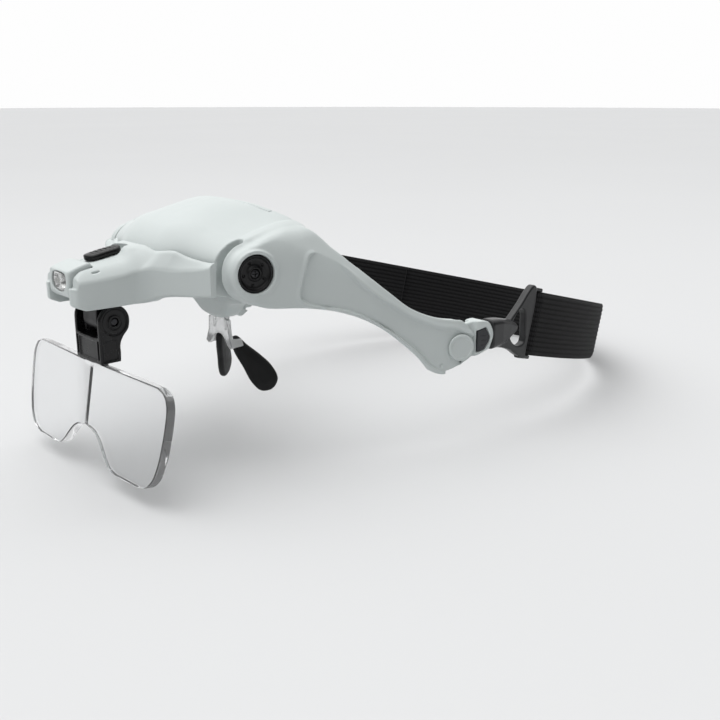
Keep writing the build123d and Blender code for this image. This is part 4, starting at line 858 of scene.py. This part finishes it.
at_pod = wing_frame(PY, PZ)
f, D = cap_piece()
both(f, D, "cap", "head_frame", black, ("pivot_cap_left", "pivot_cap_right"), at_pod)
f, D = screw_piece(1.5, -3.1, -0.75)
scr = [moulded(f, D, f"cap_screw_{s}", "head_frame", steel, ["pivot_screws"] if i == 0 else [], a) for i, (s, a) in enumerate((("left", at_pod), ("right", other(at_pod))))]

at_tail = wing_frame(56.3, -32.6)
f = Field((-5.3, -5.3, -0.2), (5.3, 5.3, 1.5), 0.14)
r = np.sqrt(f.X ** 2 + f.Y ** 2)
D = cut(r - 5.0, np.abs(f.Z - 0.62) - 0.54, 0.38)
D = less(D, cut(r - 3.9, 0.98 - f.Z, 0.0), 0.1)
both(f, D, "tail_disc", "head_frame", white, ("tail_disc_left", "tail_disc_right"), at_tail)

# ---- rear closing plate, battery door and their screws
f = Field((0, -2.8, -9.4), (31.4, 7.2, 12.2), 0.2, mirror=True)
rear = 78.0 - np.sqrt(f.X * f.X + (f.Y - 78.0) ** 2)
slab = np.maximum(rear + 0.1, -rear - 2.0)
D = cut(slab, np.maximum(f.X - 30.9, np.abs(f.Z - 1.4) - 10.3), 0.35)
D = less(D, f.box(-24.75, 24.75, -20, 30, -5.75, 40, 0.4), 0.25)
for z in (-5, 8):
    q = np.sqrt((f.X - 28) ** 2 + (f.Z - z) ** 2)
    D = less(D, np.maximum(q - 1.75, -rear - 0.75), 0.15)
    D = np.maximum(D, 1.05 - q)
moulded(f, D.astype(F32), "closing_plate", "head_frame", white, ["inner_cover"])

f = Field((0, -2.6, -6.0), (24.8, 4.8, 22.6), 0.2, mirror=True)
rear = 78.0 - np.sqrt(f.X * f.X + (f.Y - 78.0) ** 2)
crown = np.interp(f.x, *np.array(curve(CROWN, 6)).T)[:, None] + 0.22 * (f.y[None, :] + 8)
crown = soft(crown, np.interp(f.y, *np.array(curve(TOP_LINE + [(20, 13)], 6)).T)[None, :], 2.6)
crest = soft(crown, np.interp(f.x, *np.array(curve(REAR_DIP, 6)).T)[:, None], 1.6)[:, :, None] - 0.1
D = cut(np.maximum(rear + 0.1, -rear - 1.8), np.maximum(np.maximum(f.X - 24.2, -5.4 - f.Z), f.Z - crest), 0.4)
pad_at = np.sqrt(np.maximum(f.X - 7.0, 0) ** 2 + (np.maximum(np.abs(f.Z - 12.4) - 1.8, 0)) ** 2) - 3.0
D = less(D, np.maximum(pad_at, -rear - 0.5), 0.25)
for i in range(5):
    q = np.sqrt((f.Z - 8.8 - 1.8 * i) ** 2 + (rear + 0.62) ** 2) - 0.5
    D = join(D, np.maximum(q, pad_at + 0.9), 0.12)
moulded(f, D.astype(F32), "door", "battery_door", white, ["battery_door"])

f, D = screw_piece(1.35, -2.2, 0.0, 0.34, 1.7)
for i, (x, z) in enumerate(((-28, -5), (28, -5), (-28, 8), (28, 8))):
    seat_at = axes((x, head_y(abs(x)) - 0.5, z), (0, 0, 1), (-0.385 * np.sign(x), 0.923, 0))
    moulded(f, D, f"cover_screw_{i + 1}", "head_frame", steel, ["cover_screws"] if i == 0 else [], seat_at)

# ---- sockets at the wings' ends, with their release buttons
LATCH = [(62.7, -35.0), (62.7, -27.2), (65.6, -26.1), (67.1, -29.6), (66.7, -31.5), (65.1, -34.2)]


def wings_x(f):
    return np.array([wing_x(y) for y in f.y])[None, :, None].astype(F32)


f = Field((59.0, 48.6, -41.2), (73.6, 70.0, -21.4), 0.17)
wxs = wings_x(f)
fan = f.yz([(56.3, -26.0), (57.2, -24.6), (62.4, -23.2)] + curve([(62.4, -23.2), (66.3, -23.6), (68.2, -26.1), (68.9, -29.3), (67.2, -34.3)])[1:] + [(61.2, -37.5), (57.2, -39.6), (56.3, -39.6)])
fan = np.minimum(fan, np.sqrt((f.Y - 56.3) ** 2 + (f.Z + 32.6) ** 2) - 7.0)
ys = [49, 52, 55, 58, 61.5]
plan = [(wing_x(y) - 1.55, y) for y in ys] + [(wing_x(61.7) - 1.5, 61.7), (wing_x(62.2) - 0.5, 62.2), (wing_x(62.8) - 0.12, 62.8), (wing_x(64.6) - 0.1, 64.6), (wing_x(67) - 0.1, 67.0), (72.4, 69.4), (63.6, 69.4)]
plan += [(wing_x(61.6) - 5.4, 61.6)] + [(wing_x(y) - 3.55, y) for y in ys[::-1]]
D = cut(fan + 0.12, f.xy(plan), 0.55)
lat = f.yz(LATCH)
D = less(D, np.maximum(lat - 0.32, 67.6 - f.X), 0.28)
hole = np.maximum(np.maximum(np.abs(f.X - 66.4) - 1.4, np.abs(f.Z + 29.6) - 3.0), 63.4 - f.Y)
D = less(D, hole, 0.3)
D = np.maximum(D, 1.75 - np.sqrt((f.Y - 56.3) ** 2 + (f.Z + 32.6) ** 2))
both(f, D, "socket", "strap_sockets", white, ("socket_left", "socket_right"))

f = Field((68.4, 62.2, -35.6), (74.6, 67.6, -25.6), 0.12)
D = cut(f.yz(LATCH), np.maximum(f.X - wings_x(f) + 0.05, 68.7 - f.X), 0.5)
rib = np.sqrt((((f.Z + 30.6) / 1.0 + 0.9) % 1.8 - 0.9) ** 2 + (f.X - wings_x(f) - 0.02) ** 2) - 0.3
D = less(D, np.maximum(rib, f.yz(LATCH) + 1.1), 0.1)
both(f, D, "latch", None, latch_m, ("latch_left", "latch_right"), bodies=("latch_left", "latch_right"))

# ---- strap buckles
f = Field((63.8, 63.6, -44.2), (72.2, 102.0, -13.4), 0.24)
plate = f.yz([(70.5, -34.6)] + curve([(78.5, -36.6), (83.0, -38.4), (87.2, -41.2), (91.4, -43), (94, -43.2)], 4) + curve([(94.6, -42.6), (97.9, -16.4), (97.2, -14.9), (95.4, -14.5), (92.6, -16.4), (88.4, -20.6), (82, -26)], 4) + [(70.5, -25.0)])
D = cut(plate, np.abs(f.X - 68) - 1.6, 0.8)
tt = f.y
hz = line_at(curve([(63, 5.8), (70, 5.75), (76.7, 5.0), (80.9, 3.6), (84, 2.2), (86.6, 0.9)], 5), tt)[None, :, None]
hx = line_at([(63, 3.5), (70, 3.45), (76, 3.2), (81, 2.6), (84.5, 2.1), (87, 1.5)], tt)[None, :, None]
rr = np.minimum(hx, hz) * 0.62
qx, qz = np.abs(f.X - 68) - (hx - rr), np.abs(f.Z + 29.75) - (hz - rr)
neck = np.sqrt(np.maximum(qx, 0) ** 2 + np.maximum(qz, 0) ** 2) + np.minimum(np.maximum(qx, qz), 0) - rr
neck = cut(neck.astype(F32), np.abs(f.Y - 78.2) - 8.35, 0.8)
win = f.yz(curve([(85.6, -24.6), (88.4, -22.7), (90.6, -23.8), (91.3, -30), (90.9, -36.4), (87.6, -37.5), (83.2, -34.8), (81.8, -31.0)], 4, closed=True))
D = less(D, np.maximum(win, 1.0 * -neck), 0.55)
D = join(D, neck, 1.0)
c14, s14 = math.cos(math.radians(14.4)), math.sin(math.radians(14.4))
vv = (f.Y - 94) * c14 - (f.Z + 29.4) * s14
ss = (f.Y - 94) * s14 + (f.Z + 29.4) * c14
rod = np.maximum(np.sqrt((vv - 3.6) ** 2 + (f.X - 68) ** 2) - 1.05, np.abs(ss) - 13.6)
ends = cut(np.maximum(np.abs(vv - 1.2) - 3.5, np.abs(f.X - 68) - 1.15), np.abs(np.abs(ss) - 13.45) - 0.75, 0.4)
D = np.maximum(D, -np.maximum(1.2 - vv, np.abs(ss) - 12.75))
D = join(D, ends, 0.5)
D = np.minimum(D, rod)
plug = f.box(65.2, 67.6, 64.0, 70.6, -32.3, -26.9, 0.35)
D = join(D, plug, 0.4)
both(f, D, "buckle", "strap", buckle_m, ("buckle_left", "buckle_right"))

# ---- black lug and lens bracket
EY, EZ = -51.8, -15.6
f = Field((0, -57, -20.4), (5.2, -47, -9.4), 0.14, mirror=True)
lug = f.yz([(-56, -9.8), (-47.4, -9.8)] + arc(EY, EZ, 4.4, 0, -180, 24)[0:])
D = cut(lug, f.X - 4.8, 0.35)
D = np.maximum(D, -f.rod("x", (EY, EZ), 1.55))
moulded(f, D, "lug", "visor_arm", black, ["lens_lug"])

f = Field((0, -58.6, -29.9), (9.4, -45.0, -9.6), 0.15, mirror=True)
o = arc3((-57.55, -15.6), (-51.8, -9.86), (-46.05, -15.6), 30) + [(-46.1, -16.5)]
prof = [(-57.6, -29.6), (-57.6, -17.2)] + o + curve([(-46.1, -16.5), (-46.7, -18.7), (-48.7, -21.0), (-49.9, -23.4), (-50.0, -27.0), (-50.2, -29.6)], 5)[1:]
D = cut(f.yz(prof), np.maximum(f.X - 9.0, -9.85 - 30 - f.Z), 0.75)
D = np.maximum(D, f.Z + 9.88)
front_win = np.maximum(f.box(-7.4, 7.4, -70, -54.0, -20.6, -6, 0.6), -1e3)
deep_win = f.box(-5.2, 5.2, -70, -40, -20.9, -5, 0.3)
D = less(D, np.minimum(front_win, deep_win), 0.35)
r = np.sqrt((f.Y - EY) ** 2 + (f.Z - EZ) ** 2)
rings = np.minimum(np.abs(r - 4.5) - 0.2, np.abs(r - 2.5) - 0.22)
D = less(D, np.maximum(rings, 8.62 - f.X), 0.1)
D = less(D, np.maximum(np.abs(r - 3.5) - 0.75, 8.74 - f.X), 0.08)
D = less(D, f.box(8.65, 12, -56.4, -51.4, -28.8, -21.8, 0.4), 0.15)
D = less(D, f.box(-6.1, 6.1, -60, -57.15, -28.7, -21.9, 0.5), 0.2)
D = less(D, f.box(6.75, 7.75, -60, -55.6, -28.3, -21.6, 0.3), 0.15)
D = less(D, f.box(-6.5, 6.5, -56.55, -53.65, -40, -23.0, 0.1), 0.15)
D = np.maximum(D, -f.rod("x", (EY, EZ), 1.5))
moulded(f, D, "bracket", "lens_bracket", gloss, ["lens_bracket"])

# domed head of the bracket's pin, inside the ear's ring
f = Field((-1.7, -1.7, -9.0), (1.7, 1.7, 9.0), 0.12)
D, r = turned(f, [(0, -8.75), (1.0, -8.72), (1.32, -8.55), (1.46, -8.3), (1.46, 8.3), (1.32, 8.55), (1.0, 8.72), (0, 8.75)])
moulded(f, D, "bracket_pin_v", "lens_bracket", steel, ["bracket_pin"], axes((0, EY, EZ), (0, 0, 1), (1, 0, 0)))

# ---- lamp head
f = Field((0, -66.6, -7.2), (7.0, -54.0, 4.6), 0.13, mirror=True)
prof = [(-66.2, -3.4)] + curve([(-66.2, -3.4), (-65.9, -5.0), (-64.6, -6.3), (-62, -6.8), (-59.6, -5.9), (-58.4, -5.4)], 5)[1:] + arc(-58.4, -1.5, 3.9, -88, 74, 24) + curve([(-57.3, 3.9), (-57.6, 4.8), (-58.6, 4.85), (-60.5, 4.4), (-63.2, 3.6), (-65.5, 2.6), (-65.8, 1.9)], 4)
D = cut(f.yz(prof), f.X - 6.8, 0.9)
D = less(D, f.box(-5.1, 5.1, -65.2, -61.6, -4.05, 1.65, 0.3), 0.1)
WINDOW = curve([(-3.9, 1.55), (3.9, 1.55), (4.7, 0.6), (4.85, -1.8), (3.6, -3.6), (0, -4.3), (-3.6, -3.6), (-4.85, -1.8), (-4.7, 0.6)], 6, closed=True)
hole = f.xz(WINDOW)
D = less(D, np.maximum(hole - 0.12, f.Y + 64.6), 0.25)
D = np.maximum(D, -f.rod("x", (-58.4, -1.5), 1.05))
moulded(f, D, "lamp", "lamp_head", white, ["lamp_housing"])

f = Field((-1.3, -1.3, -11.0), (1.3, 1.3, 11.0), 0.12)
D, r = turned(f, [(0, -10.8), (0.85, -10.8), (1.0, -10.6), (1.0, 10.6), (0.85, 10.8), (0, 10.8)])
moulded(f, D, "lamp_pin_v", "visor_arm", steel, ["lamp_pin"], axes((0, -58.4, -1.5), (0, 0, 1), (1, 0, 0)))

f = Field((0, -66.2, -4.6), (5.2, -64.8, 2.0), 0.1, mirror=True)
bow = 0.014 * (f.X ** 2 + (f.Z + 1.3) ** 2)
D = cut(f.xz(WINDOW), np.maximum(-(f.Y + 65.95 - bow), f.Y + 65.05), 0.12)
moulded(f, D.astype(F32), "lamp_glass", "lamp_head", window_m, ["lamp_window"])

# ---- slide switch
at = axes((0, -49.6, 5.35), (0, 0.985, 0.17), (0, -0.17, 0.985))
f = Field((-6.9, -3.5, -6.3), (6.9, 3.5, 2.7), 0.13)
slotd = np.sqrt(np.maximum(np.abs(f.X) - 3.4, 0) ** 2 + f.Y ** 2) - 3.15
crown = f.Z - (2.35 - 0.018 * f.Y ** 2 * 4 - 0.006 * f.X ** 2)
D = cut(slotd, np.maximum(crown, -f.Z), 0.6)
for i in range(6):
    c = (i - 2.5) * 1.5
    g = np.sqrt((f.X - c * 1.12) ** 2 + (f.Z - 2.4) ** 2) - 0.5
    D = less(D, np.maximum(g, np.abs(f.Y) - 2.75), 0.12)
D = np.minimum(D, f.box(-1.3, 1.3, -0.7, 0.7, -6, 0.5, 0.1))
moulded(f, D, "slider", "switch", gloss, ["switch_slider"], at)

# ---- nose bridge and pads
f = Field((0, -5.2, -34.8), (9.2, 1.2, -16.6), 0.15, mirror=True)
o = [(4.4, -17), (4.4, -23.1), (6.2, -23.4), (6.6, -28.5), (8.6, -33.4), (7, -34.3), (5.4, -33.2), (4.2, -31.4)]
o += arc3((4.2, -31.4), (0, -29.2), (-4.2, -31.4), 16)[1:-1]
o += flip(o[:8])
D = cut(f.xz(o), np.abs(f.Y + 4.0) - 0.8, 0.3)
rib = cut(np.maximum(np.abs(np.abs(f.X) - 3.7) - 0.5, np.abs(f.Z + 22.0) - 5.2), np.abs(f.Y + 3.0) - 0.7, 0.2)
D = join(D, rib, 0.4)
foot = cut(f.xz([(5.6, -31), (7.6, -31), (8.6, -33.4), (7, -34.2), (5.6, -32.8)]), np.abs(f.Y + 1.7) - 2.3, 0.35)
D = join(D, foot, 0.5)
moulded(f, D, "bridge", "head_frame", bridge_m, ["nose_bridge"])

at = axes((9.6, 3.4, -40.5), (0.428, 0.380, -0.8195), (0.80, -0.58, 0.15))
f = Field((-12.9, -5.4, -2.1), (13.1, 6.0, 2.1), 0.2)
out = f.xy(curve([(-12.2, -1.2), (-7.5, -3.0), (-1, -3.7), (6, -4.5), (10.6, -3.4), (12.4, 0.6), (10.4, 4.4), (5, 5.4), (-1, 4.3), (-7, 2.5), (-12, 1.2)], 8, closed=True))
bulge = 0.35 * np.clip(-out / 3.0, 0, 1)
D = cut(out, np.abs(f.Z) - (1.2 + bulge), 1.05)
both(f, D.astype(F32), "pad", "head_frame", pad_m, ("nose_pad_left", "nose_pad_right"), at)

# ---- one-piece double lens
f = Field((0, -64.4, -65.2), (47.9, -52.6, -22.8), 0.3, mirror=True)
sn, cn = math.sin(math.radians(11)), math.cos(math.radians(11))
nn = math.sqrt(1 + 0.036 ** 2)
py, pz = f.Y + 57.0, f.Z + 30.0
U = (f.X + 0.036 * py) / nn
W = sn * py + cn * pz
front = (0.036 * cn * f.X - cn * py + sn * pz) / nn
half = curve([(41, 0), (45, -1.6), (47, -5), (47.3, -10), (46.8, -17), (45.6, -24), (43.5, -29.4), (40, -32.8), (35, -34.2)], 8) + curve([(21, -34.2), (17, -33.2), (14, -31), (11, -27.8), (8.4, -25.2), (5, -23.2), (0, -22.2)], 8)
edge = poly(half + flip(half), U, W)
# both lobes bulge backwards and meet in a straight crease
swell = 1.0 - 0.95 * (((U - 24.0) / 30.0) ** 2 + ((W + 17.0) / 30.0) ** 2)
D = cut(edge, np.maximum(front, -front - 3.0 - swell), 0.42)
tab = cut(np.maximum(np.abs(f.X) - 6.3, np.abs(f.Z + 27.75) - 4.45), np.abs(f.Y + 55.1) - 1.25, 0.3)
D = join(D, tab, 0.5)
moulded(f, D.astype(F32), "lens_v", "lens", acrylic, ["lens_plate"], most=180000)


# ---- ribbed elastic, doubled back through both buckles
def build_strap():
    A, Bd, v0 = 70.1, 108.4, 3.6

    def band(v):
        return A * math.sqrt(max(1 - ((v - v0) / Bd) ** 2, 0))

    inner = [(band(u) - d, u) for u, d in ((60, 1.7), (46, 1.7), (34, 1.7), (22, 1.75), (14, 2.2), (8, 3.4))] + [(band(3.6) - 4.2, 3.6)]
    side = curve(inner, 10)[:-1]
    loop = [(68 - 2.1 * math.cos(math.radians(a)), v0 - 2.1 * math.sin(math.radians(a))) for a in np.linspace(0, 180, 19)]
    back = [(A * math.cos(t), v0 + Bd * math.sin(t)) for t in np.linspace(0, math.pi, 181)][1:]
    left = side + loop + back[:89]
    mid = [back[89]]
    right = [(-x, v) for x, v in left[::-1]]
    path = np.array(left + mid + right)
    # even spacing of 0.92 mm
    seg = np.linalg.norm(np.diff(path, axis=0), axis=1)
    s = np.concatenate([[0], np.cumsum(seg)])
    L = s[-1]
    n = int(L / 0.92)
    q = np.linspace(0, L, n + 1)
    px, pv = np.interp(q, s, path[:, 0]), np.interp(q, s, path[:, 1])
    tx, tv = np.gradient(px), np.gradient(pv)
    tl = np.hypot(tx, tv)
    tx, tv = tx / tl, tv / tl
    # cross-section: 13 raised ribs between thinner valleys, rounded selvedges
    W2, ribs, per = 12.5, 13, 8
    k = ribs * per
    t = np.linspace(-1, 1, k + 1)
    w = W2 * t
    th = 0.46 + 0.3 * np.abs(np.cos(np.linspace(0, ribs * math.pi, k + 1) + math.pi / 2)) ** 0.8
    th = th * np.clip((1 - t ** 14), 0.25, 1)
    top = [(a, b) for a, b in zip(w, th)]
    ring = top + [(a, -b) for a, b in zip(w[::-1], th[::-1])]
    ring = np.array(ring)
    m = len(ring)
    org = np.array([0, 94, -29.4])
    ev = np.array([0, c14, -s14])
    ez = np.array([0, s14, c14])
    ex = np.array([1.0, 0, 0])
    V = np.empty((n + 1, m, 3))
    for i in range(n + 1):
        nrm = -tv[i] * ex + tx[i] * ev
        # the weave's fine cross ripple
        rp = 1.0 + 0.05 * math.sin(q[i] * 2 * math.pi / 1.7)
        V[i] = org + px[i] * ex + pv[i] * ev + ring[:, :1] * ez + (ring[:, 1:] * rp) * nrm
    V = V.reshape(-1, 3)
    i, j = np.meshgrid(np.arange(n), np.arange(m), indexing="ij")
    j2 = (j + 1) % m
    F = np.stack([i * m + j, i * m + j2, (i + 1) * m + j2, (i + 1) * m + j], -1).reshape(-1, 4)
    a, b = np.arange(k), np.arange(k)
    c0 = np.stack([b, b + 1, m - 2 - b, m - 1 - b], 1)
    c1 = c0 + n * m
    F = np.concatenate([F, c0[:, ::-1], c1])
    e0 = V[F[:, 1]] - V[F[:, 0]]
    e1 = V[F[:, 2]] - V[F[:, 0]]
    mid_f = V[F].mean(1)
    vol = np.einsum("ij,ij->i", np.cross(e0, e1), mid_f - V.mean(0)).sum()
    if vol < 0:
        F = F[:, ::-1]
    me = mesh_of("strap", V, F)
    uv = me.uv_layers.new(name="UVMap")
    li = np.empty(len(me.loops), np.int32)
    me.loops.foreach_get("vertex_index", li)
    co = np.stack([q[li // m], ring[li % m, 0] + 12.5], 1)
    uv.data.foreach_set("uv", co.astype(F32).ravel())
    ob = place(me, "strap", "strap", elastic, ["elastic_strap"])
    return ob, L


strap, strap_len = build_strap()


# ---------------------------------------------------------------- stage, light and camera
bpy.context.scene.view_settings.view_transform = "Standard"
low, high = (Vector(v) for v in size_cad)
floor_z = low.z - 0.0002
bm = bmesh.new()
bmesh.ops.create_circle(bm, cap_ends=True, segments=96, radius=6.0)
fm = bpy.data.meshes.new("floor")
bm.to_mesh(fm)
bm.free()
floor = bpy.data.objects.new("floor", fm)
floor.location = (0, 0, floor_z)
bpy.context.scene.collection.objects.link(floor)
m, N, L, P = tree("floor_paper")
co = N.new("ShaderNodeTexCoord").outputs["Object"]
L.new(two(N, L, noise(N, L, 3, 2, 0.5, co), (0.615, 0.62, 0.625), (0.635, 0.64, 0.645)), P.inputs["Base Color"])
P.inputs["Roughness"].default_value = 0.9
P.inputs["Specular IOR Level"].default_value = 0.1
fm.materials.append(m)

cam_data = bpy.data.cameras.new("camera")
cam_data.sensor_width = 36.0
cam_data.lens = 47.5
cam_data.clip_start = 0.01
cam_data.clip_end = 50
cam = bpy.data.objects.new("camera", cam_data)
bpy.context.scene.collection.objects.link(cam)
R, U, B = (0.6772, 0.7358, 0.0), (-0.2039, 0.1877, 0.9608), (0.7070, -0.6507, 0.2771)
rot = Matrix((R, U, B)).transposed()
cam.matrix_world = Matrix.Translation((0.2907, -0.2000, 0.0600)) @ rot.to_4x4()
bpy.context.scene.camera = cam

world = bpy.data.worlds.new("studio")
bpy.context.scene.world = world
world.use_nodes = True
WN, WL = world.node_tree.nodes, world.node_tree.links
bg = WN["Background"]
bg.inputs["Color"].default_value = (1, 1, 1, 1)
tc = WN.new("ShaderNodeTexCoord")


def lobe(direction, lo, hi, a, b):
    """Sky brightness that eases from a to b as the view direction turns to the given one."""
    dot = WN.new("ShaderNodeVectorMath")
    dot.operation = "DOT_PRODUCT"
    dot.inputs[1].default_value = direction
    WL.new(tc.outputs["Generated"], dot.inputs[0])
    mr = WN.new("ShaderNodeMapRange")
    mr.interpolation_type = "SMOOTHSTEP"
    mr.inputs["From Min"].default_value = lo
    mr.inputs["From Max"].default_value = hi
    mr.inputs["To Min"].default_value = a
    mr.inputs["To Max"].default_value = b
    WL.new(dot.outputs["Value"], mr.inputs["Value"])
    return mr.outputs["Result"]


# large soft light overhead, white wall behind the object, darker on the side that the camera is on
top = lobe((-0.1, -0.3, 0.95), 0.42, 0.97, 0.03, 1.85)
wall = lobe((-0.72, 0.66, 0.2), 0.25, 0.7, 0.0, 0.96)
total = WN.new("ShaderNodeMath")
total.operation = "ADD"
WL.new(top, total.inputs[0])
WL.new(wall, total.inputs[1])
WL.new(total.outputs["Value"], bg.inputs["Strength"])


def area(name, at, aim, size, power, color=(1, 1, 1)):
    d = bpy.data.lights.new(name, "AREA")
    d.shape = "RECTANGLE"
    d.size, d.size_y = size
    d.energy = power
    d.color = color
    o = bpy.data.objects.new(name, d)
    o.location = at
    o.rotation_euler = (Vector(aim) - Vector(at)).to_track_quat("-Z", "Y").to_euler()
    bpy.context.scene.collection.objects.link(o)
    return o


area("key", (-0.15, -0.3, 1.0), (0, 0, 0), (0.6, 0.6), 2.0)
area("rim", (0.5, 0.7, 0.7), (0, 0.05, 0), (0.5, 0.5), 0.5)

bpy.context.view_layer.update()
